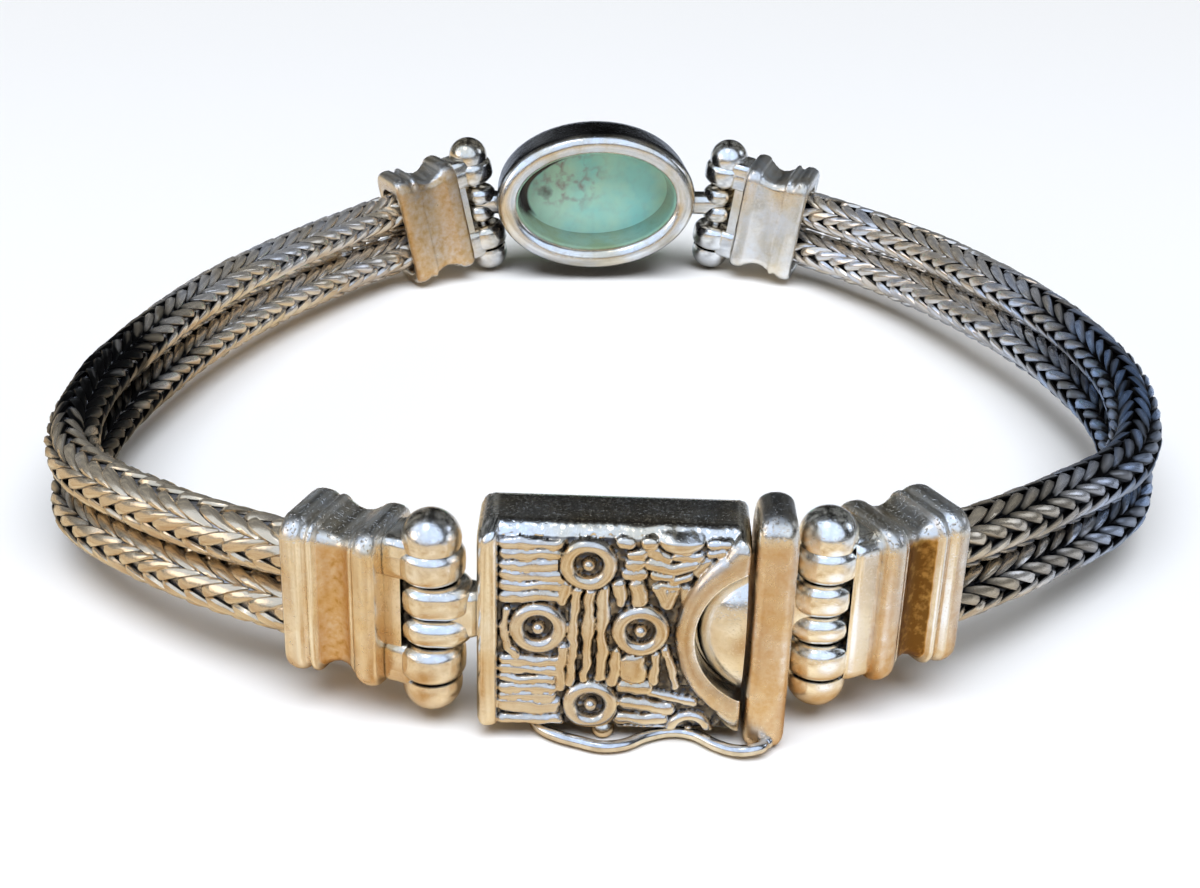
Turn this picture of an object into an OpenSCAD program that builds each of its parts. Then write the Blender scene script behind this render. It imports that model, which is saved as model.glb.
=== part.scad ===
// Silver bracelet with foxtail chain strands, a box clasp and a turquoise in an oval setting.
// Millimetres, +Z up. It lies on its edge: the clasp is in front (-Y), the stone at the back (+Y).
// The origin is the middle of the floor area it covers.

/* [Clasp] */
// Length of the clasp's box
box_w = 13.5; // [12:0.1:15]
// Height of the clasp's box, across the bracelet
box_h = 11.5; // [11:0.1:12]
// Thickness of the clasp's box
box_t = 3.8; // [3.6:0.1:4.4]
// Thickness of the box's front plate
front_wall = 0.8; // [0.7:0.05:0.9]
// Thickness of the end plate
plate_t = 2.1; // [1.6:0.1:2.4]
// Height of the end plate
plate_h = 13; // [12.6:0.1:13.4]
// Depth of the end plate, from front to back
plate_d = 3.9; // [3.6:0.1:4.2]

/* [Relief] */
// Outer radius of a relief ring
ring_r = 1.45; // [1.2:0.05:1.5]
// Half thickness of a relief ring's wire
ring_wire = 0.36; // [0.3:0.02:0.4]
// Radius of the dot inside a ring
dot_r = 0.32; // [0.2:0.02:0.4]
// Radius of a relief ridge
ridge_r = 0.2; // [0.15:0.01:0.22]

/* [Safety clip] */
// Radius of the clip's wire
clip_r = 0.27; // [0.2:0.01:0.28]
// Radius of the ball stud under the box
stud_r = 0.5; // [0.4:0.05:0.6]

/* [Hinges] */
// Radius of the hinge barrels
barrel_r = 1.48; // [1.4:0.02:1.55]
// Distance between the middles of a barrel's two end balls
barrel_l = 8.7; // [8.5:0.05:8.9]
// Radius of the two middle knuckles
middle_r = 1.32; // [1.2:0.02:1.4]
// Radius of the hinge pins
pin_r = 0.5; // [0.4:0.05:0.6]
// Clearance of a pin in its bore
pin_gap = 0.03; // [0.02:0.01:0.05]

/* [End caps] */
// Height of a cap's flanges
cap_h = 8.7; // [8.4:0.1:9]
// Thickness of a cap's flanges
cap_t = 4.9; // [4.6:0.1:5.2]
// Distance from the hinge axis to a cap's chain end
cap_l = 7.4; // [7.2:0.1:7.8]
// Thickness of a cap's flanges along the bracelet
flange_w = 1.05; // [0.8:0.05:1.2]
// Depth of the waist between the flanges
waist_depth = 0.6; // [0.4:0.05:0.7]

/* [Strands] */
// Radius of a chain strand
strand_r = 1.55; // [1.4:0.05:1.6]
// Distance between the middles of the two strands of a side
strand_gap = 3.4; // [3.3:0.05:3.5]

/* [Setting] */
// Half length of the oval setting
oval_a = 8.1; // [7.8:0.1:8.3]
// Half height of the oval setting
oval_b = 5.7; // [5.5:0.1:6]
// Depth of the setting, from its rim inside the wrist to its outer edge
setting_t = 5.2; // [4.8:0.1:5.6]
// Depth of the stone's seat behind the rim
stone_depth = 3.6; // [3.2:0.1:3.8]
// Height of the stone's dome over its seat
stone_rise = 3.3; // [2.6:0.1:3.6]

/* [Hidden] */
$fn = 48;

silver = "silver";
dark_silver = "dimgray";
turquoise = "mediumaquamarine";

// Where the loop's own axis lies from the middle of the covered floor
loop_at = [-1.0, 1.135, 0];

// Hinges: [x, y, z of the barrel's middle], then [tip, lean, turn] of its axis in degrees
hinge_front_left = [[-8.25, -34.6, 6.5], [0, 0, -20]];
hinge_front_right = [[11.65, -33.4, 6.7], [0, 0, 30]];
hinge_back_left = [[-10.75, 30.3, 5.8], [-3.9, -11.2, 29.6]];
hinge_back_right = [[9.4, 32.1, 5.79], [2.7, 8.4, -17.5]];

// Caps: where the first flange starts, and the narrow rib, corners, web and groove
cap_start = 2.1;
rib_w = 0.55;
cap_corner = 1.1;
web_t = 1.8;
groove = 0.14;

// Heights of the joints between a barrel's knuckles, from the top ball down
knuckle_ends = [3.95, 1.9, 0, -1.6, -3.75];
middle_h = knuckle_ends[1] - knuckle_ends[3];
knuckle_slack = 0.08;
lug_t = 1.6;

// The clasp's box stands on the plate's foot, its middle at
box_at = [0.85, -34.45, 6.55];
box_wall = 0.6;
box_gap = 0.16;
box_left = box_at.x - box_w / 2;
box_right = box_at.x + box_w / 2;
box_front = box_at.y - box_t / 2;
box_back = box_at.y + box_t / 2;
box_bottom = box_at.z - box_h / 2;
relief_depth = 0.35;
post_r = 0.55;
plate_x = box_right + box_gap;
plate_y = -34.95;
plate_corner = 1.1;

// Middles of the relief's rings, from the box's middle
relief_rings = [[-1.05, 3.95], [-3.55, 0.2], [1.5, -0.05], [-0.85, -4.1]];
// Rows of ridges: [start of the first, step of the starts, end of the first, step of the ends, number]
relief_rows = [
    [[-5.5, 5.35], [0, -0.48], [-2.8, 5.35], [0, -0.48], 8],
    [[-5.5, -1.75], [0, -0.48], [-2.6, -1.75], [0, -0.48], 8],
    [[-2.45, -2.7], [0.55, 0.05], [-2.35, 2.35], [0.55, -0.1], 6],
    [[0.9, 1.55], [0.75, 0], [0.9, 2.8], [0.75, 0], 3],
    [[1.15, -3.2], [0.7, 0], [1.15, -1.6], [0.7, 0], 3],
    [[0.7, 5.3], [0, -0.5], [4.6, 5.3], [-0.35, -0.5], 5],
    [[0.8, -3.55], [0, -0.48], [2.9, -3.75], [0.4, -0.46], 5]];

// The arch and the thumb press are round about one axis beyond the box's open end
arch_x = box_right + 1.4;
arch_z = box_at.z + 0.1;
arch_r = 4.0;
arch_band = 1.1;
press_gap = 0.15;
press_rise = 1.9;
leaf_t = 0.5;
leaf_h = 6.8;
leaf_play = 0.15;
leaf_front = box_front + relief_depth + front_wall + leaf_play;
leaf_back = box_back - box_wall - leaf_play;
fold_x = box_left + 2.15;

// Safety clip: [x, distance from its middle line] of its wire, from its elbow to the free end
clip_path = [[8.8, 2.35], [7.6, 2.35], [6.4, 1.9], [5.3, 1.15], [4.1, 0.95], [2.8, 1.45],
    [1.75, 2.2], [0.6, 2.45], [-0.6, 2.1], [-1.8, 1.6], [-2.7, 0.9], [-3, 0]];
clip_z = 0.42;
clip_axis_x = 8.8;
clip_axis_z = 0.62;
clip_pin_in = 0.55;
stud_x = 0.6;
stud_y = -35.75;

// Middle lines of the two sides' strands, from the back cap to the front cap
route_left = [[-23, 18.5, 4.3], [-27.5, 9.5, 4.5], [-30.5, 0, 4.6], [-32, -10, 4.8], [-30.3, -20, 5.2],
    [-23.5, -27.2, 6]];
route_right = [[23.5, 22.5, 4.8], [28.5, 13.5, 5.3], [32.3, 4.5, 5.4], [34, -5.5, 5.3], [31.8, -15.5, 5.2],
    [25.5, -23, 5.9]];
strand_sides = 8;
strand_steps = 3;
// How far back into a cap its strand's direction is taken
lead = 8;
pocket_depth = 2.2;
pocket_gap = 0.25;

// Oval setting: its rim's middle, then its turn in degrees
setting_at = [-0.87, 28.2, 6.8];
setting_turn = [0, -2, 5];
oval_sides = 48;
// The rim's round and its funnel: [depth behind the rim, inset from the widest outline]
rim = [[0, 0.8], [0.25, 0.3], [0.8, 0]];
rim_funnel = [[-0.1, 1.2], [0.6, 1.7]];
// Insets of the stone's ledge and of the stone
ledge_in = 1.6;
stone_in = 1.1;
// The back hinges lean in their play, while the setting's own knuckles stand upright
lean_room = 0.25;

// Rotation of a point by [tip, lean, turn] about X, then Y, then Z
function turned(p, a) =
    let (x = [p.x, p.y * cos(a.x) - p.z * sin(a.x), p.y * sin(a.x) + p.z * cos(a.x)],
        y = [x.x * cos(a.y) + x.z * sin(a.y), x.y, -x.x * sin(a.y) + x.z * cos(a.y)])
    [y.x * cos(a.z) - y.y * sin(a.z), y.x * sin(a.z) + y.y * cos(a.z), y.z];

// Point along a cap's axis, outwards from its hinge, and above it; side is -1 on the left
function on_cap(hinge, side, along, above) = hinge[0] + turned([side * along, 0, above], hinge[1]);

function unit(v) = v / norm(v);

// Smooth curve through points, whose first and last only give its end directions
function curve(p, steps) = [
    for (i = [1 : len(p) - 3]) for (k = [0 : steps - 1]) let (t = k / steps)
        0.5 * (2 * p[i] + (p[i + 1] - p[i - 1]) * t
            + (2 * p[i - 1] - 5 * p[i] + 4 * p[i + 1] - p[i + 2]) * t * t
            + (3 * p[i] - p[i - 1] - 3 * p[i + 1] + p[i + 2]) * t * t * t),
    p[len(p) - 2]];

// Direction of a path at one of its points
function heading(path, i) = unit(path[min(i + 1, len(path) - 1)] - path[max(i - 1, 0)]);

// Upward direction square to a path
function upward(path, i) = let (h = heading(path, i)) unit([0, 0, 1] - h.z * h);

// Round tube along a path
module tube(path, radius, sides) {
    last = len(path) - 1;
    points = [for (i = [0 : last]) let (u = upward(path, i), s = cross(u, heading(path, i)))
        for (k = [0 : sides - 1]) let (a = (k + 0.5) * 360 / sides)
            path[i] + radius * (cos(a) * s + sin(a) * u)];
    walls = [for (i = [0 : last - 1]) for (k = [0 : sides - 1]) let (n = (k + 1) % sides)
        [i * sides + k, (i + 1) * sides + k, (i + 1) * sides + n, i * sides + n]];
    ends = [[for (k = [0 : sides - 1]) k], [for (k = [sides - 1 : -1 : 0]) last * sides + k]];
    polyhedron(points, concat(walls, ends), convexity = 6);
}

module round_square(w, h, r) {
    square([w - 2 * r, h], center = true);
    square([w, h - 2 * r], center = true);
    for (x = [-1, 1], y = [-1, 1])
        translate([x * (w / 2 - r), y * (h / 2 - r)]) circle(r);
}

// Hinges

module at_hinge(hinge) {
    translate(loop_at + hinge[0]) rotate(hinge[1]) children();
}

// One knuckle, a round bead from one height down to another
module knuckle(top, bottom, r) {
    h = top - bottom;
    translate([0, 0, (top + bottom) / 2]) {
        rotate_extrude() intersection() {
            translate([r - h / 2, 0]) circle(h / 2);
            translate([0, -h / 2]) square([r, h]);
        }
        cylinder(h = h, r = r - 0.2, center = true);
    }
}

// The cap's four knuckles: a ball and a ring above the middle, a ring and a ball below it
module outer_knuckles() {
    difference() {
        union() {
            for (end = [-1, 1]) translate([0, 0, end * barrel_l / 2]) sphere(barrel_r);
            translate([0, 0, knuckle_ends[0]])
                cylinder(h = barrel_l / 2 - knuckle_ends[0], r = barrel_r - 0.04);
            knuckle(knuckle_ends[0], knuckle_ends[1] + knuckle_slack, barrel_r);
            knuckle(knuckle_ends[3] - knuckle_slack, knuckle_ends[4], barrel_r + 0.08);
            translate([0, 0, -barrel_l / 2]) cylinder(h = barrel_l / 2 + knuckle_ends[4], r = barrel_r - 0.04);
        }
        pin_bore();
        middle_room(2 * barrel_r);
    }
}

// Room that the cap leaves for the middle knuckles
module middle_room(r) {
    translate([0, 0, knuckle_ends[3] - knuckle_slack])
        cylinder(h = middle_h + 2 * knuckle_slack, r = r);
}

// The two narrower knuckles between them
module middle_knuckles() {
    knuckle(knuckle_ends[1], knuckle_ends[2], middle_r);
    knuckle(knuckle_ends[2], knuckle_ends[3], middle_r);
}

module pin_bore() {
    cylinder(h = barrel_l + 2 * pin_gap, r = pin_r + pin_gap, center = true);
}

module pin(hinge) {
    color(dark_silver) at_hinge(hinge) cylinder(h = barrel_l, r = pin_r, center = true);
}

// End caps

// A cap, along +X from its hinge axis, with its outer face towards -Y
module cap_body() {
    waist_start = cap_start + flange_w;
    waist_end = cap_l - flange_w - rib_w;
    waist_l = waist_end - waist_start;
    groove_r = (waist_l * waist_l / 4 + waist_depth * waist_depth) / (2 * waist_depth);
    difference() {
        union() {
            translate([cap_start, 0, 0]) rotate([90, 0, 90])
                linear_extrude(cap_l - cap_start) round_square(cap_t, cap_h, cap_corner);
            // web between the hinge and the cap
            translate([cap_start / 2 + 0.2, 0, 0]) cube([cap_start, web_t, barrel_l + 1], center = true);
        }
        for (side = [-1, 1]) {
            translate([(waist_start + waist_end) / 2, side * (cap_t / 2 + groove_r - waist_depth), 0])
                cylinder(h = 2 * cap_h, r = groove_r, center = true, $fn = 96);
            translate([(waist_start + waist_end) / 2, 0, side * (cap_h / 2 + groove_r - waist_depth)])
                rotate([90, 0, 0]) cylinder(h = 2 * cap_h, r = groove_r, center = true, $fn = 96);
        }
        // groove between the narrow rib and the chain end's flange
        translate([cap_l - flange_w - groove / 2, 0, 0]) rotate([90, 0, 90])
            linear_extrude(groove) difference() {
                square([2 * cap_t, 2 * cap_h], center = true);
                round_square(cap_t - 2 * groove, cap_h - 2 * groove, cap_corner - groove);
            }
        // pocket for the strands
        translate([cap_l - pocket_depth, 0, 0]) rotate([90, 0, 90]) linear_extrude(pocket_depth + 1)
            round_square(2 * (strand_r + pocket_gap), strand_gap + 2 * (strand_r + pocket_gap), cap_corner);
        // room for the middle knuckles to turn
        middle_room(middle_r + 0.3);
        cylinder(h = 2 * barrel_l, r = pin_r + 0.2, center = true);
    }
}

module cap(hinge, side) {
    color(silver) at_hinge(hinge) {
        mirror([side < 0 ? 1 : 0, 0, 0]) cap_body();
        outer_knuckles();
    }
}

// Clasp

// A ridge between two points of the front plate, given from the box's middle
module ridge(from, to, r) {
    span = to - from;
    translate([from.x, -box_t / 2 + relief_depth, from.y])
        rotate([0, atan2(span.x, span.y), 0]) cylinder(h = norm(span), r = r, $fn = 16);
}

module relief_ring(x, z) {
    translate([x, -box_t / 2 + relief_depth, z]) rotate([90, 0, 0]) {
        rotate_extrude() translate([ring_r - ring_wire, 0]) circle(ring_wire, $fn = 24);
        sphere(dot_r, $fn = 24);
    }
}

module relief() {
    for (at = relief_rings) relief_ring(at.x, at.y);
    for (row = relief_rows) for (i = [0 : row[4] - 1])
        ridge(row[0] + i * row[1], row[2] + i * row[3], ridge_r);
}

module clasp_box() {
    color(silver) translate(loop_at) {
        difference() {
            translate(box_at) union() {
                // rounded at its left end, square at the end plate
                translate([0, box_t / 2, 0]) rotate([90, 0, 0]) linear_extrude(box_t - relief_depth) {
                    translate([box_w / 8, 0]) square([box_w * 3 / 4, box_h], center = true);
                    translate([-box_w / 8, 0]) round_square(box_w * 3 / 4, box_h, 0.7);
                }
                // frame post at the left end
                translate([-box_w / 2 + post_r, -box_t / 2 + relief_depth + 0.1, 0])
                    cylinder(h = box_h - 1, r = post_r, center = true);
                intersection() {
                    relief();
                    cube([box_w, 2 * box_t, box_h], center = true);
                }
                // raised band round the press
                intersection() {
                    translate([arch_x - box_at.x, -box_t / 2 + relief_depth, arch_z - box_at.z])
                        rotate([90, 0, 0]) rotate_extrude($fn = 96)
                            translate([arch_r + arch_band / 2, 0]) circle(arch_band / 2, $fn = 24);
                    cube([box_w, 2 * box_t, box_h], center = true);
                }
            }
            // hollow, open at the plate's end
            translate([box_left + box_wall, box_front + front_wall + relief_depth, box_bottom + box_wall])
                cube([box_w, box_t - front_wall - relief_depth - box_wall, box_h - 2 * box_wall]);
            translate([arch_x, box_front - 1, arch_z]) rotate([-90, 0, 0])
                cylinder(h = 1 + box_t - box_wall, r = arch_r, $fn = 96);
        }
        // ball stud for the safety clip
        translate([stud_x, stud_y, box_bottom - 0.3]) sphere(stud_r);
        // lug and middle knuckles of the left hinge
        difference() {
            union() {
                translate(hinge_front_left[0] + [0, -lug_t / 2, knuckle_ends[3]])
                    cube([box_left - hinge_front_left[0].x + 0.1, lug_t, middle_h]);
                translate(hinge_front_left[0]) middle_knuckles();
            }
            translate(hinge_front_left[0]) pin_bore();
        }
    }
}

module clasp_tongue() {
    lug_l = hinge_front_right[0].x - plate_x - plate_t + 0.2;
    color(silver) translate(loop_at) {
        difference() {
            union() {
                // end plate
                translate([plate_x, plate_y, plate_h / 2]) rotate([90, 0, 90])
                    linear_extrude(plate_t) round_square(plate_d, plate_h, plate_corner);
                translate(hinge_front_right[0] + [-lug_l, -lug_t / 2, knuckle_ends[3]])
                    cube([lug_l, lug_t, middle_h]);
                translate(hinge_front_right[0]) middle_knuckles();
            }
            translate(hinge_front_right[0]) pin_bore();
            translate([clip_axis_x, plate_y, clip_axis_z]) rotate([90, 0, 0])
                cylinder(h = 2 * plate_d, r = clip_r + pin_gap, center = true);
        }
        // lower leaf of the tongue and its fold
        translate([fold_x - leaf_play - leaf_t, 0, arch_z - leaf_h / 2]) {
            translate([0, leaf_back - leaf_t, 0])
                cube([plate_x - fold_x + leaf_play + leaf_t + 0.1, leaf_t, leaf_h]);
            translate([0, leaf_front, 0]) cube([leaf_t, leaf_back - leaf_front, leaf_h]);
        }
    }
}

// Upper leaf of the tongue with the half dome that is pressed
module thumb_press() {
    dome_r = arch_r - press_gap;
    leaf_end = box_right - 0.1;
    ball_r = (dome_r * dome_r + press_rise * press_rise) / (2 * press_rise);
    color(silver) translate(loop_at) {
        translate([fold_x, leaf_front, arch_z - leaf_h / 2]) cube([leaf_end - fold_x, leaf_t, leaf_h]);
        intersection() {
            translate([arch_x, leaf_front + ball_r - press_rise, arch_z]) sphere(ball_r, $fn = 96);
            translate([arch_x - arch_r, leaf_front - press_rise, arch_z - arch_r])
                cube([leaf_end - arch_x + arch_r, press_rise + leaf_t / 2, 2 * arch_r]);
        }
    }
}

module safety_clip() {
    last = len(clip_path) - 1;
    half = curve(concat([clip_path[0] + [1, 0]], clip_path,
        [[clip_path[last - 1].x, -clip_path[last - 1].y]]), 3);
    rise = function(x) clip_z + (clip_axis_z - clip_z) * max(0, min(1, (x - 7) / 1.5));
    near = [for (p = half) [p.x, plate_y - p.y, rise(p.x)]];
    far = [for (i = [len(half) - 2 : -1 : 0]) [half[i].x, plate_y + half[i].y, rise(half[i].x)]];
    pin_l = clip_path[0].y - plate_d / 2 + clip_pin_in;
    color(silver) translate(loop_at) {
        tube(concat(near, far), clip_r, strand_sides);
        for (side = [-1, 1]) translate([clip_axis_x, plate_y + side * clip_path[0].y, clip_axis_z]) {
            sphere(clip_r + 0.02, $fn = 24);
            rotate([side * 90, 0, 0]) cylinder(h = pin_l, r = clip_r);
        }
    }
}

// Chain strands: level is 1 for the upper one of a side, -1 for the lower one

module strand(route, back, front, side, level) {
    above = level * strand_gap / 2;
    inside = cap_l - pocket_depth + 0.1;
    mouth = cap_l + 0.3;
    free = curve(concat([for (u = [mouth - lead, mouth]) on_cap(back, side, u, above)],
        [for (p = route) p + [0, 0, above]],
        [for (u = [mouth, mouth - lead]) on_cap(front, side, u, above)]), strand_steps);
    path = concat([on_cap(back, side, inside, above)], free, [on_cap(front, side, inside, above)]);
    color(dark_silver) translate(loop_at) tube(path, strand_r, strand_sides);
}

module left_strand(level) {
    strand(route_left, hinge_back_left, hinge_front_left, -1, level);
}

module right_strand(level) {
    strand(route_right, hinge_back_right, hinge_front_right, 1, level);
}

// Oval setting and stone

// The setting's oval, set in from its widest outline
module oval(inset) {
    polygon([for (i = [0 : oval_sides - 1]) let (a = i * 360 / oval_sides)
        [(oval_a - inset) * cos(a), (oval_b - inset) * sin(a)]]);
}

// Solid of oval rings, each row [depth behind the rim, inset from the widest outline]
module oval_loft(rows) {
    last = len(rows) - 1;
    points = [for (row = rows) for (k = [0 : oval_sides - 1]) let (a = k * 360 / oval_sides)
        [(oval_a - row[1]) * cos(a), row[0], (oval_b - row[1]) * sin(a)]];
    walls = [for (i = [0 : last - 1]) for (k = [0 : oval_sides - 1]) let (n = (k + 1) % oval_sides)
        [i * oval_sides + k, i * oval_sides + n, (i + 1) * oval_sides + n, (i + 1) * oval_sides + k]];
    ends = [[for (k = [oval_sides - 1 : -1 : 0]) k], [for (k = [0 : oval_sides - 1]) last * oval_sides + k]];
    polyhedron(points, concat(walls, ends), convexity = 4);
}

module at_setting() {
    translate(loop_at + setting_at) rotate(setting_turn) children();
}

// Lug and middle knuckles that join the setting to a hinge
module setting_lug(hinge, side) {
    reach = abs(hinge[0].x - setting_at.x) - oval_a + 0.9;
    top = knuckle_ends[1] - lean_room;
    bottom = knuckle_ends[3] + lean_room;
    middle = (top + bottom) / 2;
    translate(loop_at + hinge[0]) rotate([0, 0, setting_turn.z]) {
        translate([side < 0 ? 0 : -reach, -lug_t / 2, bottom]) cube([reach, lug_t, top - bottom]);
        knuckle(top, middle, middle_r);
        knuckle(middle, bottom, middle_r);
    }
}

module stone_setting() {
    color(silver) difference() {
        union() {
            at_setting() oval_loft(concat(rim, [[setting_t, 0.5]]));
            setting_lug(hinge_back_left, -1);
            setting_lug(hinge_back_right, 1);
        }
        at_setting() {
            oval_loft(rim_funnel);
            translate([0, 0.5, 0]) rotate([-90, 0, 0]) linear_extrude(stone_depth) oval(ledge_in);
            translate([0, stone_depth, 0]) rotate([-90, 0, 0]) linear_extrude(setting_t) oval(stone_in - 0.1);
        }
        at_hinge(hinge_back_left) pin_bore();
        at_hinge(hinge_back_right) pin_bore();
    }
}

// Cabochon, flat behind and domed on the outside of the bracelet
module turquoise_stone() {
    girdle = 0.8;
    dome_in = 3.4;
    color(turquoise) at_setting() oval_loft(concat([[stone_depth + 0.05, stone_in]], [for (a = [0 : 15 : 75])
        [stone_depth + girdle + (stone_rise - girdle) * sin(a), stone_in + dome_in * (1 - cos(a))]]));
}

clasp_box();
clasp_tongue();
thumb_press();
safety_clip();
cap(hinge_front_left, -1);  // cap_front_left
cap(hinge_front_right, 1);  // cap_front_right
cap(hinge_back_left, -1);  // cap_back_left
cap(hinge_back_right, 1);  // cap_back_right
pin(hinge_front_left);  // pin_front_left
pin(hinge_front_right);  // pin_front_right
pin(hinge_back_left);  // pin_back_left
pin(hinge_back_right);  // pin_back_right
left_strand(1);  // strand_upper_left
left_strand(-1);  // strand_lower_left
right_strand(1);  // strand_upper_right
right_strand(-1);  // strand_lower_right
stone_setting();
turquoise_stone();
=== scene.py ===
import math
import random
from bisect import bisect_right

import bmesh
import bpy
import numpy as np
from mathutils import Matrix, Vector


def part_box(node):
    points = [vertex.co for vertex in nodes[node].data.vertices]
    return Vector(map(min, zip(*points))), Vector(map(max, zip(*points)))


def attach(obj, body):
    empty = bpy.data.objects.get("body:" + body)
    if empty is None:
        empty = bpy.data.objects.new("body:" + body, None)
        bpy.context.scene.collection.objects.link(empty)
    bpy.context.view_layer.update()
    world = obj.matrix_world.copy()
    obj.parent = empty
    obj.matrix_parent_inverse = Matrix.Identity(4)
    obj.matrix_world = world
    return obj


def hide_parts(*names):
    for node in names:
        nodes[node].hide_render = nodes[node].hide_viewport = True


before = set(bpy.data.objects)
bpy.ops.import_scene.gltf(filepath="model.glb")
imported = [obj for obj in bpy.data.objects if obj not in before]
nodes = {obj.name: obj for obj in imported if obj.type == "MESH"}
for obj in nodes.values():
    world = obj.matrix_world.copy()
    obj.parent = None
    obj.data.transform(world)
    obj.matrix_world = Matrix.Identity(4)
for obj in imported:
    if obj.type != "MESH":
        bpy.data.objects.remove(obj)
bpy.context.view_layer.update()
mm = 0.001


# View: the photograph looks down at the clasp from in front, from about 12 cm away,
# with the camera rolled by less than two degrees.
view_from = Vector((-1, -111.3, 55)) * mm
view_tip = math.radians(63.5)
view_roll = math.radians(1.84)

lens = bpy.data.cameras.new("camera")
lens.lens = 54
lens.sensor_width = 36
lens.clip_start = 2 * mm
camera = bpy.data.objects.new("camera", lens)
bpy.context.scene.collection.objects.link(camera)
camera.matrix_world = (
    Matrix.Translation(view_from) @ Matrix.Rotation(view_tip, 4, "X") @ Matrix.Rotation(view_roll, 4, "Z")
)
bpy.context.scene.camera = camera


# Floor and studio light: a matt white board under a wide overhead softbox. Polished silver
# shows what is around it, as outdoors in the photograph: a pale blue sky card in front, a
# dark room behind, and a board whose colour in reflections only is painted warm in front
# and neutral at the back right, as a painted reflection of sunlit ground.
floor_colour = "#F8EDDA"
painted_reflection_warm = ("#B98C54", "#F0D9AF")
painted_reflection_cool = ("#9C9892", "#EDECE8")
painted_sunlit_patch = "#FFF9EE"
room_dark = "#191816"
room_spots = "#A0A6AC"
room_pale = "#FAFAFA"
floor_size = 4
# The painted warm reflection turns neutral between two distances along this direction
cool_way = (1.3, 1, 0)
cool_from = -15 * mm
cool_to = 22 * mm
glow_patch = 9 * mm
sunlit_at = (16.5 * mm, -42 * mm, 0)
sunlit_r = (3.6 * mm, 7.2 * mm)
backdrop_from = 0.1
backdrop_to = 0.4


def linear(code):
    """An sRGB hex colour as linear red, green, blue and alpha."""
    channels = [int(code[i:i + 2], 16) / 255 for i in (1, 3, 5)]
    return [c / 12.92 if c <= 0.04045 else ((c + 0.055) / 1.055) ** 2.4 for c in channels] + [1]


def add(tree, kind, inputs=None, **settings):
    """Adds a node with its settings, and gives each input a value or a link."""
    node = tree.nodes.new(kind)
    for name, value in settings.items():
        setattr(node, name, value)
    for name, value in (inputs or {}).items():
        if isinstance(value, bpy.types.NodeSocket):
            tree.links.new(value, node.inputs[name])
        else:
            node.inputs[name].default_value = value
    return node


def new_material(name):
    material = bpy.data.materials.new(name)
    material.use_nodes = True
    material.node_tree.nodes.clear()
    return material, material.node_tree


def solid(name, bm, material):
    """An object at the origin from a finished bmesh, shaded smooth but for its sharp edges."""
    mesh = bpy.data.meshes.new(name)
    bm.to_mesh(mesh)
    bm.free()
    mesh.materials.append(material)
    mesh.polygons.foreach_set("use_smooth", [True] * len(mesh.polygons))
    mesh.set_sharp_from_angle(angle=math.radians(48))
    made = bpy.data.objects.new(name, mesh)
    bpy.context.scene.collection.objects.link(made)
    return made


board, tree = new_material("matt white board")
ray = add(tree, "ShaderNodeLightPath")
place = add(tree, "ShaderNodeTexCoord").outputs["Object"]
across = add(tree, "ShaderNodeVectorMath", {0: place, 1: cool_way}, operation="DOT_PRODUCT")
to_back = add(tree, "ShaderNodeMapRange", {"Value": across.outputs["Value"], "From Min": cool_from,
                                           "From Max": cool_to})
# the painted reflection is patchy over 9 mm, as sunlit ground is, with a painted sunlit patch nearly white
# before the right hinge
patch = add(tree, "ShaderNodeTexNoise", {"Vector": place, "Scale": 1 / glow_patch, "Detail": 3})
patchy = add(tree, "ShaderNodeMapRange", {"Value": patch.outputs["Fac"], "From Min": 0.34, "From Max": 0.6})
to_hinge = add(tree, "ShaderNodeVectorMath", {0: place, 1: sunlit_at}, operation="DISTANCE")
sunny = add(tree, "ShaderNodeMapRange", {"Value": to_hinge.outputs["Value"], "From Min": sunlit_r[0],
                                         "From Max": sunlit_r[1], "To Min": 0.9, "To Max": 0})
dim, lit = [add(tree, "ShaderNodeMix", {0: to_back.outputs[0], 6: linear(warm), 7: linear(cool)},
                data_type="RGBA") for warm, cool in zip(painted_reflection_warm, painted_reflection_cool)]
painted_glow = add(tree, "ShaderNodeMix", {0: patchy.outputs[0], 6: dim.outputs[2], 7: lit.outputs[2]},
           data_type="RGBA")
sunlit = add(tree, "ShaderNodeMix", {0: sunny.outputs[0], 6: painted_glow.outputs[2], 7: linear(painted_sunlit_patch)},
             data_type="RGBA")
# glossy rays see that painted reflection, and the camera sees the board's own pale colour
seen = add(tree, "ShaderNodeMix", {0: ray.outputs["Is Glossy Ray"], 6: linear(floor_colour),
                                   7: sunlit.outputs[2]}, data_type="RGBA")
skin = add(tree, "ShaderNodeBsdfDiffuse", {"Color": seen.outputs[2]})
# far from the bracelet the board runs into the pale backdrop
away = add(tree, "ShaderNodeVectorMath", {0: place}, operation="LENGTH")
fade = add(tree, "ShaderNodeMapRange", {"Value": away.outputs["Value"], "From Min": backdrop_from,
                                        "From Max": backdrop_to})
faded = add(tree, "ShaderNodeMath", {0: fade.outputs[0], 1: ray.outputs["Is Camera Ray"]},
            operation="MULTIPLY")
backdrop = add(tree, "ShaderNodeEmission", {"Color": linear(room_pale)})
both = add(tree, "ShaderNodeMixShader", {0: faded.outputs[0], 1: skin.outputs[0], 2: backdrop.outputs[0]})
add(tree, "ShaderNodeOutputMaterial", {"Surface": both.outputs[0]})

bm = bmesh.new()
bmesh.ops.create_grid(bm, x_segments=2, y_segments=2, size=floor_size / 2)
floor = solid("floor", bm, board)

world = bpy.data.worlds.new("room")
world.use_nodes = True
bpy.context.scene.world = world
tree = world.node_tree
tree.nodes.clear()
ray = add(tree, "ShaderNodeLightPath")
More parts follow.
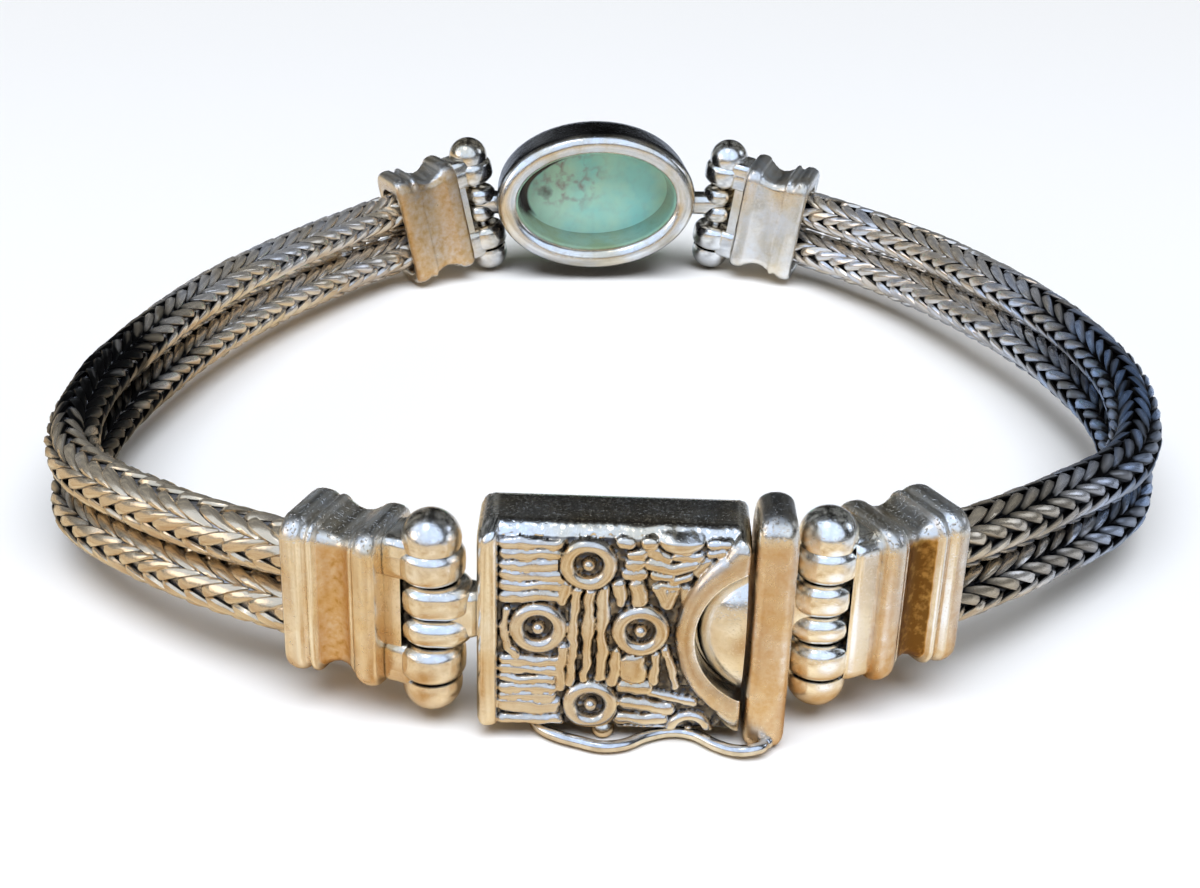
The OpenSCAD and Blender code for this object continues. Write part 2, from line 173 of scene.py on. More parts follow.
# straight behind it is dark, and aside of that are spots of daylight, about 10 degrees wide
heading = add(tree, "ShaderNodeTexCoord").outputs["Generated"]
leaves = add(tree, "ShaderNodeTexNoise", {"Vector": heading, "Scale": 6, "Detail": 4})
spots = add(tree, "ShaderNodeMapRange", {"Value": leaves.outputs["Fac"], "From Min": 0.48, "From Max": 0.62})
axes = add(tree, "ShaderNodeSeparateXYZ", {0: heading})
aside = add(tree, "ShaderNodeMath", {0: axes.outputs["X"]}, operation="ABSOLUTE")
open_side = add(tree, "ShaderNodeMapRange", {"Value": aside.outputs[0], "From Min": 0.06, "From Max": 0.2})
daylight = add(tree, "ShaderNodeMath", {0: spots.outputs[0], 1: open_side.outputs[0]}, operation="MULTIPLY")
wall = add(tree, "ShaderNodeMix", {0: daylight.outputs[0], 6: linear(room_dark), 7: linear(room_spots)},
           data_type="RGBA")
room = add(tree, "ShaderNodeMix", {0: ray.outputs["Is Camera Ray"], 6: wall.outputs[2],
                                   7: linear(room_pale)}, data_type="RGBA")
air = add(tree, "ShaderNodeBackground", {"Color": room.outputs[2], "Strength": 1})
add(tree, "ShaderNodeOutputWorld", {"Surface": air.outputs[0]})


def softbox(name, at, size, power, colour, lights=True, shows=True):
    """A soft oval lamp turned to the bracelet, which can light it, show in it, or both."""
    lamp = bpy.data.lights.new(name, "AREA")
    lamp.shape = "ELLIPSE"
    lamp.size, lamp.size_y = size
    lamp.energy = power
    lamp.color = linear(colour)[:3]
    made = bpy.data.objects.new(name, lamp)
    bpy.context.scene.collection.objects.link(made)
    made.location = at
    made.rotation_euler = (-Vector(at)).to_track_quat("-Z", "Y").to_euler()
    made.visible_camera = False
    made.visible_diffuse = lights
    made.visible_glossy = shows


softbox("overhead", (0.0, -0.38, 0.92), (1.3, 0.75), 19, "#D6E4FF", shows=False)
softbox("sky card", (-0.2, -0.70, 0.68), (3.8, 1.5), 18.5, "#C2D9FF", lights=False)
softbox("glint", (-0.22, -0.4, 0.9), (0.2, 0.2), 0.5, "#F4F8FF", lights=False)
softbox("left fill", (-1.1, -0.5, 0.35), (0.6, 0.5), 1.3, "#FFEBD2")
softbox("right fill", (1.1, 0.1, 0.5), (0.4, 0.4), 0.8, "#CFE0FF")
bpy.context.scene.view_settings.view_transform = "Standard"


# Hinge pins: drawn silver wire pushed through the knuckles of each of the four hinges
# and filed flush. The back hinges lean where the bracelet rests on the floor.
hinge_lean = {  # tip, lean and turn of each hinge's axis, in degrees
    "front_left": (0, 0, -20),
    "front_right": (0, 0, 30),
    "back_left": (-3.9, -11.2, 29.6),
    "back_right": (2.7, 8.4, -17.5),
}
wire_colour = "#FBFAF7"
wire_dark = "#B9B1A6"
draw_mark = 0.48 * mm


def turned(tip, lean, turn):
    return (Matrix.Rotation(math.radians(turn), 4, "Z") @ Matrix.Rotation(math.radians(lean), 4, "Y")
            @ Matrix.Rotation(math.radians(tip), 4, "X"))


def middle(node):
    low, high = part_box(node)
    return (low + high) / 2


hinges = {name: Matrix.Translation(middle("pin_" + name)) @ turned(*lean)
          for name, lean in hinge_lean.items()}

wire_silver, tree = new_material("drawn silver wire")
place = add(tree, "ShaderNodeTexCoord").outputs["Object"]
# faint marks of the draw plate, drawn about ten times as coarse as real so that they show
drawn = add(tree, "ShaderNodeTexNoise", {"Vector": place, "Scale": 1 / draw_mark, "Detail": 4})
shade = add(tree, "ShaderNodeMix", {0: drawn.outputs["Fac"], 6: linear(wire_dark),
                                    7: linear(wire_colour)}, data_type="RGBA")
tilt = add(tree, "ShaderNodeBump", {"Height": drawn.outputs["Fac"], "Strength": 0.4,
                                    "Distance": 0.01 * mm})
skin = add(tree, "ShaderNodeBsdfPrincipled", {"Base Color": shade.outputs[2], "Metallic": 1,
                                              "Roughness": 0.2, "Normal": tilt.outputs[0]})
add(tree, "ShaderNodeOutputMaterial", {"Surface": skin.outputs[0]})

for name in hinges:
    pin = nodes["pin_" + name]
    pin.data.materials.clear()
    pin.data.materials.append(wire_silver)


# Chain strands: two loop-in-loop foxtail chains on each side, woven of fine silver wire,
# 3 mm thick and blackened in their gaps. Their ends are soldered into the caps' pockets.
strand_r = 1.55
strand_gap = 3.4
cap_l = 7.4
pocket_depth = 2.2
# How far behind a cap's mouth a strand's direction is taken
lead = 8
loop_at = Vector((-1.0, 1.135, 0))
routes = {
    "left": [(-23, 18.5, 4.3), (-27.5, 9.5, 4.5), (-30.5, 0, 4.6), (-32, -10, 4.8),
             (-30.3, -20, 5.2), (-23.5, -27.2, 6)],
    "right": [(23.5, 22.5, 4.8), (28.5, 13.5, 5.3), (32.3, 4.5, 5.4), (34, -5.5, 5.3),
              (31.8, -15.5, 5.2), (25.5, -23, 5.9)],
}
outward = {"left": -1, "right": 1}
# One stitch: its spacing, the reach of its legs along the chain, and the wire's half width
# and half thickness. A leg starts at its column's edge as a rounded end that stands high,
# and runs out at the column's middle as a thin tip that is drawn in.
stitch_pitch = 1.58
leg_reach = 3.0
leg_spread = 43
leg_half_w = 0.34
leg_half_t = 0.22
leg_high = 1.4
leg_low = 1.2
# The start is rounded over this share of a leg, and its tip is black past this one
leg_nose = 0.14
nose_drop = 5
tip_from = 0.93
# Powers that shape a leg: how full its section is, how its rings crowd, how it bends in
leg_fullness = 0.75
leg_crowding = 1.35
leg_bend = 1.25
# The second leg of a column starts this share of a stitch after the first
leg_shift = 0.25
# A leg's fatness at its start, and how much of it is lost on the way to its tip
leg_fat = 1.12
leg_thinning = 0.37
# How far a leg may lie off along the chain in mm, round it in radians, and outwards in mm
leg_unevenness = (0.09, 0.035, 0.035)
column_angle = {1: 56, -1: 45}
core_r = 1.24
core_sides = 12
route_steps = 14
# How much oxide and painted shade darken it, at shares of the way from the back cap to the front cap
shares = [0, 0.25, 0.4, 0.6, 0.75, 1]
oxide_and_shade_along = {"left": [0, 0.15, 0.9, 1.9, 0.5, -0.5], "right": [-0.9, -0.15, 0.9, 1.25, 1.1, 0.75]}
# How warm (over 0) or blue (under 0) the chain is painted there: a painted reflection of the
# warm floor towards the front caps, and of the blue sky round the right bend
painted_reflection_tint = {"left": [0, 0, 0.1, 0.2, 0.35, 0.45], "right": [-0.1, 0, -0.2, -0.75, -0.45, 0.6]}
# Each leg keeps this share of that darkening and up to this much more, and is warmer by
# up to this
least_dark = 0.75
dark_spread = 0.35
tint_spread = 0.4
# How black the core behind the legs is, with oxide and painted shade
core_oxide_and_shade = {"left": 0.35, "right": 0.95}
chain_pale = "#ECEFF2"
painted_sky_blue = "#92AACB"
chain_warm_patina_and_reflection = "#D8C4A4"
chain_black = "#0B0908"


def curve_through(points, steps):
    """Smooth curve through points, whose first and last only give its end directions."""
    found = []
    for a, b, c, d in zip(points, points[1:], points[2:], points[3:]):
        for k in range(steps):
            t = k / steps
            found.append(0.5 * (2 * b + (c - a) * t + (2 * a - 5 * b + 4 * c - d) * t * t
                                + (3 * b - a - 3 * c + d) * t * t * t))
    return found + [points[-2]]


class Bend:
    """A path from the back cap to the front cap, with its direction and its upright."""

    def __init__(self, points):
        self.points = points
        self.lengths = [0]
        for a, b in zip(points, points[1:]):
            self.lengths.append(self.lengths[-1] + (b - a).length)
        last = len(points) - 1
        self.headings = [(points[min(i + 1, last)] - points[max(i - 1, 0)]).normalized()
                         for i in range(last + 1)]

    def at(self, along, angle, radius):
        """The point at a length along the path, at an angle and a radius round it."""
        along = min(max(along, 0), self.lengths[-1] - 1e-9)
        i = bisect_right(self.lengths, along) - 1
        t = (along - self.lengths[i]) / (self.lengths[i + 1] - self.lengths[i])
        centre = self.points[i].lerp(self.points[i + 1], t)
        heading = self.headings[i].lerp(self.headings[i + 1], t).normalized()
        up = (Vector((0, 0, 1)) - heading.z * heading).normalized()
        side = up.cross(heading)
        return centre + radius * (math.cos(angle) * side + math.sin(angle) * up)


def strand_path(side, level):
    """Middle line of a strand, from inside the back cap to inside the front cap."""
    back, front = hinges["back_" + side], hinges["front_" + side]
    above = level * strand_gap / 2
    mouth = cap_l + 0.3
    inside = cap_l - pocket_depth + 0.1

    def on_cap(hinge, along):
        return hinge @ (Vector((outward[side] * along, 0, above)) * mm)

    route = [(Vector(p) + loop_at + Vector((0, 0, above))) * mm for p in routes[side]]
    free = curve_through([on_cap(back, mouth - lead), on_cap(back, mouth)] + route
                         + [on_cap(front, mouth), on_cap(front, mouth - lead)], route_steps)
    return Bend([on_cap(back, inside)] + free + [on_cap(front, inside)])


chain_silver, tree = new_material("oxidised foxtail chain")
place = add(tree, "ShaderNodeTexCoord").outputs["Object"]
tint = add(tree, "ShaderNodeAttribute", attribute_name="tint").outputs["Fac"]
oxide_and_painted_shade = add(tree, "ShaderNodeAttribute", attribute_name="oxide_and_painted_shade").outputs["Fac"]
# the patina drifts over about 6 mm, and no two links have quite the same colour
drift = add(tree, "ShaderNodeTexNoise", {"Vector": place, "Scale": 1 / (6 * mm), "Detail": 2})
# the tint adds a painted warm floor reflection to the drifting patina
patina = add(tree, "ShaderNodeMath", {0: drift.outputs["Fac"], 1: tint, 2: -0.5}, operation="ADD",
             use_clamp=True)
patina_and_reflection = add(tree, "ShaderNodeMix", {0: patina.outputs[0], 6: linear(chain_pale),
                                   7: linear(chain_warm_patina_and_reflection)}, data_type="RGBA")
# a tint under 0 paints a blue sky reflection
cold = add(tree, "ShaderNodeMapRange", {"Value": tint, "From Min": 0.1, "From Max": -0.55})
blued = add(tree, "ShaderNodeMix", {0: cold.outputs[0], 6: patina_and_reflection.outputs[2], 7: linear(painted_sky_blue)},
            data_type="RGBA")
dip = add(tree, "ShaderNodeMapRange", {"Value": oxide_and_painted_shade, "From Min": 0.1, "From Max": 0.75})
shade = add(tree, "ShaderNodeMix", {0: dip.outputs[0], 6: blued.outputs[2],
                                    7: linear(chain_black)}, data_type="RGBA")
# hammering and handling leave dents of about 0.2 mm
dent = add(tree, "ShaderNodeTexNoise", {"Vector": place, "Scale": 1 / (0.2 * mm), "Detail": 3})
tilt = add(tree, "ShaderNodeBump", {"Height": dent.outputs["Fac"], "Strength": 0.6,
                                    "Distance": 0.012 * mm})
rough = add(tree, "ShaderNodeMapRange", {"Value": dip.outputs[0], "To Min": 0.22, "To Max": 0.36})
skin = add(tree, "ShaderNodeBsdfPrincipled", {"Base Color": shade.outputs[2], "Metallic": 0.8,
                                              "Roughness": rough.outputs[0], "Normal": tilt.outputs[0]})
add(tree, "ShaderNodeOutputMaterial", {"Surface": skin.outputs[0]})

chance = random.Random(3)
for side in routes:
    for level, height in ((1, "upper"), (-1, "lower")):
        bend = strand_path(side, level)
        length = bend.lengths[-1] / mm
        rows = int((length - leg_reach) / stitch_pitch)
        bm = bmesh.new()
        tints = bm.verts.layers.float.new("tint")
        oxide_and_painted_shade_layer = bm.verts.layers.float.new("oxide_and_painted_shade")
        # one row of eight legs, laid flat: along the chain, round it in radians, outwards
        for column in range(4):
            first = math.radians(column_angle[level] + 90 * column)
            start = stitch_pitch / 2 * (column % 2)
            for leg in (-1, 1):
                made = bmesh.ops.create_uvsphere(bm, u_segments=8, v_segments=9, radius=1)["verts"]
                for v in made:
                    outward_part = math.copysign(abs(v.co.x) ** leg_fullness, v.co.x)
                    t = ((v.co.z + 1) / 2) ** leg_crowding
                    fat = leg_fat - leg_thinning * t
                    # the leg bends in to its column's middle, and its cross-sections turn with it
                    lateral = math.radians(leg_spread) * (1 - t) ** leg_bend
                    steepness = leg_bend * math.radians(leg_spread) * (1 - t) ** (leg_bend - 1)
                    slant = steepness * leg_high / leg_reach
                    wide = v.co.y * leg_half_w * fat
                    height_on = (leg_high - (leg_high - leg_low) * t ** 2
                                 - nose_drop * max(0, leg_nose - t) ** 1.5)
                    begins = start + leg_shift * stitch_pitch * (leg > 0)
                    v.co = Vector((begins + leg_reach * t + slant * wide,
                                   first + leg * (lateral + wide / leg_high),
                                   height_on + outward_part * leg_half_t * fat))
                    # its underside and its tip stay black
                    v[oxide_and_painted_shade_layer] = max(0.25 - outward_part, 3 * (t - tip_from))
        one_row = bm.verts[:] + bm.edges[:] + bm.faces[:]
        for row in range(1, rows):
            copy = bmesh.ops.duplicate(bm, geom=one_row)["geom"]
            bmesh.ops.translate(bm, verts=[v for v in copy if isinstance(v, bmesh.types.BMVert)],
                                vec=(row * stitch_pitch, 0, 0))
        # no two legs lie quite alike, nor have quite the same patina
        per_leg = len(bm.verts) // (rows * 8)
        uneven_legs = [[chance.uniform(-most, most) for most in leg_unevenness] + [chance.random()]
                       for _ in range(rows * 8)]
        scale = (length - 0.1) / ((rows - leg_shift) * stitch_pitch + leg_reach)
        for i, v in enumerate(bm.verts):
            further, round_it, higher, shade_of_it = uneven_legs[i // per_leg]
            along, angle, radius = v.co
            share = along * scale / length
            v[tints] = np.interp(share, shares, painted_reflection_tint[side]) + tint_spread * shade_of_it
            left_on = np.interp(share, shares, oxide_and_shade_along[side])
            # painted shade along the chain is added here to the oxide of the legs' undersides and tips
            v[oxide_and_painted_shade_layer] += left_on * (least_dark + dark_spread * shade_of_it)
            v.co = bend.at((along * scale + further) * mm, angle + round_it, (radius + higher) * mm)
        # the hollow core behind the legs, dark with oxide and painted shade
        tube = []
        for k in range(int(length) + 1):
            ring = [bm.verts.new(bend.at(k * mm, 2 * math.pi * j / core_sides, core_r * mm))
                    for j in range(core_sides)]
            for v in ring:
                v[oxide_and_painted_shade_layer] = core_oxide_and_shade[side]
            tube.append([bm.edges.new((ring[j - 1], ring[j])) for j in range(core_sides)])
        for near, far in zip(tube, tube[1:]):
            bmesh.ops.bridge_loops(bm, edges=near + far)
        bmesh.ops.holes_fill(bm, edges=tube[0] + tube[-1])
        bmesh.ops.recalc_face_normals(bm, faces=bm.faces)
        strand = solid("chain_" + height + "_" + side, bm, chain_silver)
        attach(strand, "bracelet")
        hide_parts("strand_" + height + "_" + side)


# End caps: cast silver ferrules, one at each end of a pair of strands. Each has a flange
# at both ends, a rib and a hollow waist, one smooth plate on the side of the wrist, and a
# neck with two ball-ended knuckles for its hinge. The surface is tumbled and oxidised.
cap_start = 2.1
cap_low = -4.35
cap_top = 4.8
cap_t = 4.9
cap_corner = 1.2
# How much smaller a corner gets with the inset of its station
corner_loss = 0.6
corner_steps = 7
# Stations of a cap: distance from the hinge axis, inset of the outer face and of the two
# edges, inset of the plate on the wrist's side
cap_rows = [
    (2.10, 0.42, 0.42), (2.15, 0.24, 0.22), (2.27, 0.11, 0.08), (2.48, 0.03, 0.00), (2.70, 0.00, 0.00),
    (2.90, 0.02, 0.00), (3.10, 0.07, 0.01), (3.24, 0.14, 0.02), (3.32, 0.22, 0.04), (3.38, 0.34, 0.06),
    (3.52, 0.38, 0.09), (3.64, 0.44, 0.12), (3.74, 0.54, 0.14), (4.10, 0.72, 0.22), (4.55, 0.80, 0.26),
    (5.00, 0.68, 0.22), (5.38, 0.46, 0.14), (5.50, 0.36, 0.12), (5.54, 0.22, 0.09), (5.62, 0.14, 0.07),
    (5.72, 0.11, 0.06), (5.82, 0.14, 0.05), (5.90, 0.24, 0.04), (5.98, 0.30, 0.03), (6.14, 0.30, 0.02),
    (6.22, 0.24, 0.01), (6.30, 0.14, 0.00), (6.40, 0.07, 0.00), (6.56, 0.02, 0.00), (6.78, 0.00, 0.00),
    (7.00, 0.03, 0.01), (7.20, 0.09, 0.05), (7.32, 0.18, 0.12), (7.40, 0.32, 0.26)]
pocket_gap = 0.25
# Stations of its pocket, from the mouth inwards: distance from the hinge axis, widening
pocket_rows = [(cap_l - 0.02, 0.12), (cap_l - 0.1, 0.02), (cap_l - 0.3, 0), (cap_l - pocket_depth, 0)]
barrel_r = 1.55
barrel_l = 8.4
ring_over = 0.2
knuckle_ends = [3.95, 1.9, 0, -1.6, -3.75]
knuckle_slack = 0.08
bead_corner = 0.72
web_t = 2.7
web_in = 0.3
web_from = 0.4
web_round = 0.5
outer_ring_in = 0.15
neck_short = 0.5
notch_r = 1.66
notch_corner = 0.45
notch_most = 0.93
notch_slope = 0.8
# Levels of the plate in the notch, and the share of its outline at each
notch_rows = [(cap_low + 0.4, 0.7), (cap_low + 0.55, 0.88), (cap_low + 0.8, 0.97), (cap_low + 1.1, 1),
              (cap_top - 1.4, 1), (cap_top - 1.0, 0.97), (cap_top - 0.75, 0.88), (cap_top - 0.6, 0.7)]
spin_steps = 40
silver_pale = "#F4F1EA"
silver_gold = "#EBDABB"
silver_tan = "#C4A47C"
silver_brown = "#D2A157"
silver_umber = "#7A5425"
silver_bright = "#FFF9EC"
silver_grey = "#464445"
corner_oxide_and_shade = "#151312"
# Where a cap is tarnished brown (1) and where its edges are worn pale (-1), along it
cap_wear = [(1.2, 2.18, 0.3), (2.2, 3.15, 0.35), (3.28, 3.66, -0.6), (3.70, 5.46, 1.0), (5.56, 5.86, -0.6),
            (5.87, 6.2, 0.4), (6.24, 6.46, -0.5), (6.5, 7.25, 0.3)]
# How brown each cap is on its outer faces and on its plate, how far its notch plate stands
# out, and how its rings are worn (pale under 0)
cap_looks = {"front_left": (1.0, 0, 1.15, 0.1), "front_right": (2.3, 0, 1.8, -1),
             "back_left": (0.5, 0.9, 1.1, 0), "back_right": (0.15, 0.1, 1.1, -0.5)}
# Its brown ends at one height and its grainy top starts at the next, over half a millimetre.
# Its plate is what stands this far inside its side, and its rings end and its body starts
# at these distances from the hinge
brown_to = 3.8
grainy_from = 3.5
plate_from = 0.42
rings_to = 1.2
body_from = 2


def silver(name):
    """Cast silver, oxidised and tumbled: its colour drifts from pale to golden, its hollows
    and the gaps between parts stay black with oxide and painted shade, its edges are worn pale,
    and fine pits and scratches break up what it reflects."""
    material, tree = new_material(name)
    place = add(tree, "ShaderNodeTexCoord").outputs["Object"]
    # patina drifts over 3 mm, with a mottle of 0.5 mm in it
    drift = add(tree, "ShaderNodeTexNoise", {"Vector": place, "Scale": 1 / (3 * mm), "Detail": 4,
                                             "Roughness": 0.6})
    span = add(tree, "ShaderNodeMapRange", {"Value": drift.outputs["Fac"], "From Min": 0.38,
                                            "From Max": 0.66})
    patina = add(tree, "ShaderNodeMix", {0: span.outputs[0], 6: linear(silver_pale),
                                         7: linear(silver_gold)}, data_type="RGBA")
    mottle = add(tree, "ShaderNodeTexNoise", {"Vector": place, "Scale": 1 / (0.5 * mm), "Detail": 5,
                                              "Roughness": 0.65})
    stain = add(tree, "ShaderNodeMapRange", {"Value": mottle.outputs["Fac"], "From Min": 0.52,
                                             "From Max": 0.8, "To Max": 0.3})
    stained = add(tree, "ShaderNodeMix", {0: stain.outputs[0], 6: patina.outputs[2],
                                          7: linear(silver_tan)}, data_type="RGBA")
    wear = add(tree, "ShaderNodeAttribute", attribute_name="wear").outputs["Fac"]
    patchy = add(tree, "ShaderNodeMapRange", {"Value": mottle.outputs["Fac"], "From Min": 0.35,
                                              "From Max": 0.65, "To Min": 0.55, "To Max": 0.95})
    dull = add(tree, "ShaderNodeMath", {0: wear, 1: patchy.outputs[0]}, operation="MULTIPLY", use_clamp=True)
    tarnished = add(tree, "ShaderNodeMix", {0: dull.outputs[0], 6: stained.outputs[2],
                                            7: linear(silver_brown)}, data_type="RGBA")
    mottled = add(tree, "ShaderNodeMath", {0: wear, 1: patchy.outputs[0]}, operation="MULTIPLY")
    deepest = add(tree, "ShaderNodeMapRange", {"Value": mottled.outputs[0], "From Min": 0.8,
                                               "From Max": 1.7})
    browned = add(tree, "ShaderNodeMix", {0: deepest.outputs[0], 6: tarnished.outputs[2],
                                          7: linear(silver_umber)}, data_type="RGBA")
    rubbed = add(tree, "ShaderNodeMath", {0: wear, 1: -1}, operation="MULTIPLY", use_clamp=True)
    edged = add(tree, "ShaderNodeMix", {0: rubbed.outputs[0], 6: browned.outputs[2],
                                        7: linear(silver_bright)}, data_type="RGBA")
    # this attribute greys the relief's oxidised ground, and paints shade on the plate's top and in the
    # setting's recess
    oxide_and_painted_shade = add(tree, "ShaderNodeAttribute", attribute_name="oxide_and_painted_shade").outputs["Fac"]
    darkened = add(tree, "ShaderNodeMix", {0: oxide_and_painted_shade, 6: edged.outputs[2], 7: linear(silver_grey)},
               data_type="RGBA")
    # oxide and painted shade darken corners and the gaps between parts, up to about 0.35 mm wide
    corner = add(tree, "ShaderNodeAmbientOcclusion", {"Distance": 0.35 * mm}, samples=6)
    open_to = add(tree, "ShaderNodeMapRange", {"Value": corner.outputs["AO"], "From Min": 0.12,
                                               "From Max": 0.5})
    shade = add(tree, "ShaderNodeMix", {0: open_to.outputs[0], 6: linear(corner_oxide_and_shade), 7: darkened.outputs[2]},
                data_type="RGBA")
    # tumbling leaves waves of 1.5 mm, pits of 0.14 mm, and hair scratches 0.09 mm apart
    wave = add(tree, "ShaderNodeTexNoise", {"Vector": place, "Scale": 1 / (1.5 * mm), "Detail": 1})
    pit = add(tree, "ShaderNodeTexNoise", {"Vector": place, "Scale": 1 / (0.14 * mm), "Detail": 3})
    deep = add(tree, "ShaderNodeMapRange", {"Value": pit.outputs["Fac"], "From Min": 0.75, "From Max": 0.58})
    drawn = add(tree, "ShaderNodeMapping", {"Vector": place, "Rotation": (0.5, 0.9, 0.3),
                                            "Scale": (1, 1, 0.04)})
    hair = add(tree, "ShaderNodeTexNoise", {"Vector": drawn.outputs[0], "Scale": 1 / (0.09 * mm),
                                            "Detail": 2})
    waved = add(tree, "ShaderNodeBump", {"Height": wave.outputs["Fac"], "Strength": 1,
                                         "Distance": 0.055 * mm})
    # the tops, that nothing rubs, are grainy
    grain = add(tree, "ShaderNodeAttribute", attribute_name="grain").outputs["Fac"]
    depth_of = add(tree, "ShaderNodeMapRange", {"Value": grain, "To Min": 0.18, "To Max": 1})
    pitted = add(tree, "ShaderNodeBump", {"Height": deep.outputs[0], "Strength": depth_of.outputs[0],
                                          "Distance": 0.05 * mm, "Normal": waved.outputs[0]})
    scratched = add(tree, "ShaderNodeBump", {"Height": hair.outputs["Fac"], "Strength": 0.5,
                                             "Distance": 0.0025 * mm, "Normal": pitted.outputs[0]})
    ground = add(tree, "ShaderNodeMapRange", {"Value": mottle.outputs["Fac"], "To Min": 0.13,
                                              "To Max": 0.28})
    duller = add(tree, "ShaderNodeMath", {0: dull.outputs[0], 1: 0.2, 2: ground.outputs[0]},
                 operation="MULTIPLY_ADD")
    grainy = add(tree, "ShaderNodeMath", {0: grain, 1: 0.12, 2: duller.outputs[0]}, operation="MULTIPLY_ADD")
    rough = add(tree, "ShaderNodeMath", {0: oxide_and_painted_shade, 1: 0.06, 2: grainy.outputs[0]}, operation="MULTIPLY_ADD",
                use_clamp=True)
    skin = add(tree, "ShaderNodeBsdfPrincipled", {"Base Color": shade.outputs[2], "Metallic": 1,
                                                  "Roughness": rough.outputs[0],
                                                  "Normal": scratched.outputs[0]})
    add(tree, "ShaderNodeOutputMaterial", {"Surface": skin.outputs[0]})
    return material


cast_silver = silver("oxidised cast silver")


def ring_of(bm, points):
    """A closed ring of edges through points."""
    ring = [bm.verts.new(p) for p in points]
    return [bm.edges.new((ring[i - 1], ring[i])) for i in range(len(ring))]


def joined_rings(bm, rings, closed=False):
    """Joins each ring to the next, and then closes both ends, or joins the last to the first."""
    edges = [ring_of(bm, ring) for ring in rings]
    for near, far in zip(edges, edges[1:]):
        bmesh.ops.bridge_loops(bm, edges=near + far)
    if closed:
        bmesh.ops.bridge_loops(bm, edges=edges[-1] + edges[0])
    else:
        bmesh.ops.contextual_create(bm, geom=edges[0])
        bmesh.ops.contextual_create(bm, geom=edges[-1])


def rounded_outline(low, high, corner):
    """Points of a rectangle with round corners, between two corners in a plane."""
    found = []
    for k, (y, z) in enumerate(((high[0], high[1]), (low[0], high[1]), (low[0], low[1]), (high[0], low[1]))):
        centre_y = y - corner if y > 0 else y + corner
        centre_z = z - corner if z > 0 else z + corner
        for step in range(corner_steps + 1):
            angle = math.pi / 2 * (k + step / corner_steps)
            found.append((centre_y + corner * math.cos(angle), centre_z + corner * math.sin(angle)))
    return found


def spun(bm, matrix, profile, drawn_out=0):
    """Turns a profile of (radius, height) points round the Z axis of a matrix, and draws
    the half at one end of its X axis out by a length."""
    others = set(bm.verts)
    line = [bm.verts.new((r * mm, 0, z * mm)) for r, z in profile]
    edges = [bm.edges.new(pair) for pair in zip(line, line[1:])]
    bmesh.ops.spin(bm, geom=line + edges, cent=(0, 0, 0), axis=(0, 0, 1), dvec=(0, 0, 0),
                   angle=2 * math.pi, steps=spin_steps, use_merge=True)
    for v in set(bm.verts) - others:
        if v.co.x * drawn_out > 1e-9:
            v.co.x += drawn_out * mm
        v.co = matrix @ v.co


def bead(top, bottom, radius):
    """Profile of one round-edged ring, bulging a little, from its top down to its bottom."""
    half = (top - bottom) / 2
    corner = min(bead_corner, half)
    found = [(0, top)]
    for angle in range(90, -91, -15):
        z = (half - corner) * (1 if angle > 0 else -1 if angle < 0 else 0)
        a = math.radians(angle)
        found.append((radius - corner + corner * math.cos(a), (top + bottom) / 2 + z + corner * math.sin(a)))
    return found + [(0, bottom)]


def ball_and_ring(sign, ring_end):
    """Profile of an end ball, sunk a little into the ring next to it."""
    ring_start = knuckle_ends[0] if sign > 0 else -knuckle_ends[4]
    ball = [(barrel_r * math.cos(math.radians(a)), barrel_l / 2 + barrel_r * math.sin(math.radians(a)))
            for a in range(90, -16, -7)]
    ball[0] = (0, barrel_l / 2 + barrel_r)
    groove = [(barrel_r - 0.12, ring_start + 0.03)]
    ring = bead(ring_start, ring_end, barrel_r + ring_over)[1:]
    return [(r, sign * z) for r, z in ball + groove + ring]


def block(bm, low, high, rounding, matrix=None, segments=3):
    """A box between two corners, with rounded edges."""
    low, high = Vector(low) * mm, Vector(high) * mm
    made = bmesh.ops.create_cube(bm, size=1)["verts"]
    bmesh.ops.scale(bm, verts=made, vec=high - low)
    bmesh.ops.translate(bm, verts=made, vec=(low + high) / 2)
    bmesh.ops.transform(bm, verts=made, matrix=matrix or Matrix())
    edges = {e for v in made for e in v.link_edges}
    bmesh.ops.bevel(bm, geom=list(edges), offset=rounding * mm, offset_type="OFFSET", segments=segments,
                    profile=0.5, affect="EDGES", material=-1, clamp_overlap=True)


def tidy(bm):
    """Merges the points that meet, and turns all faces outwards."""
    bmesh.ops.remove_doubles(bm, verts=bm.verts, dist=0.001 * mm)
    bmesh.ops.recalc_face_normals(bm, faces=bm.faces)


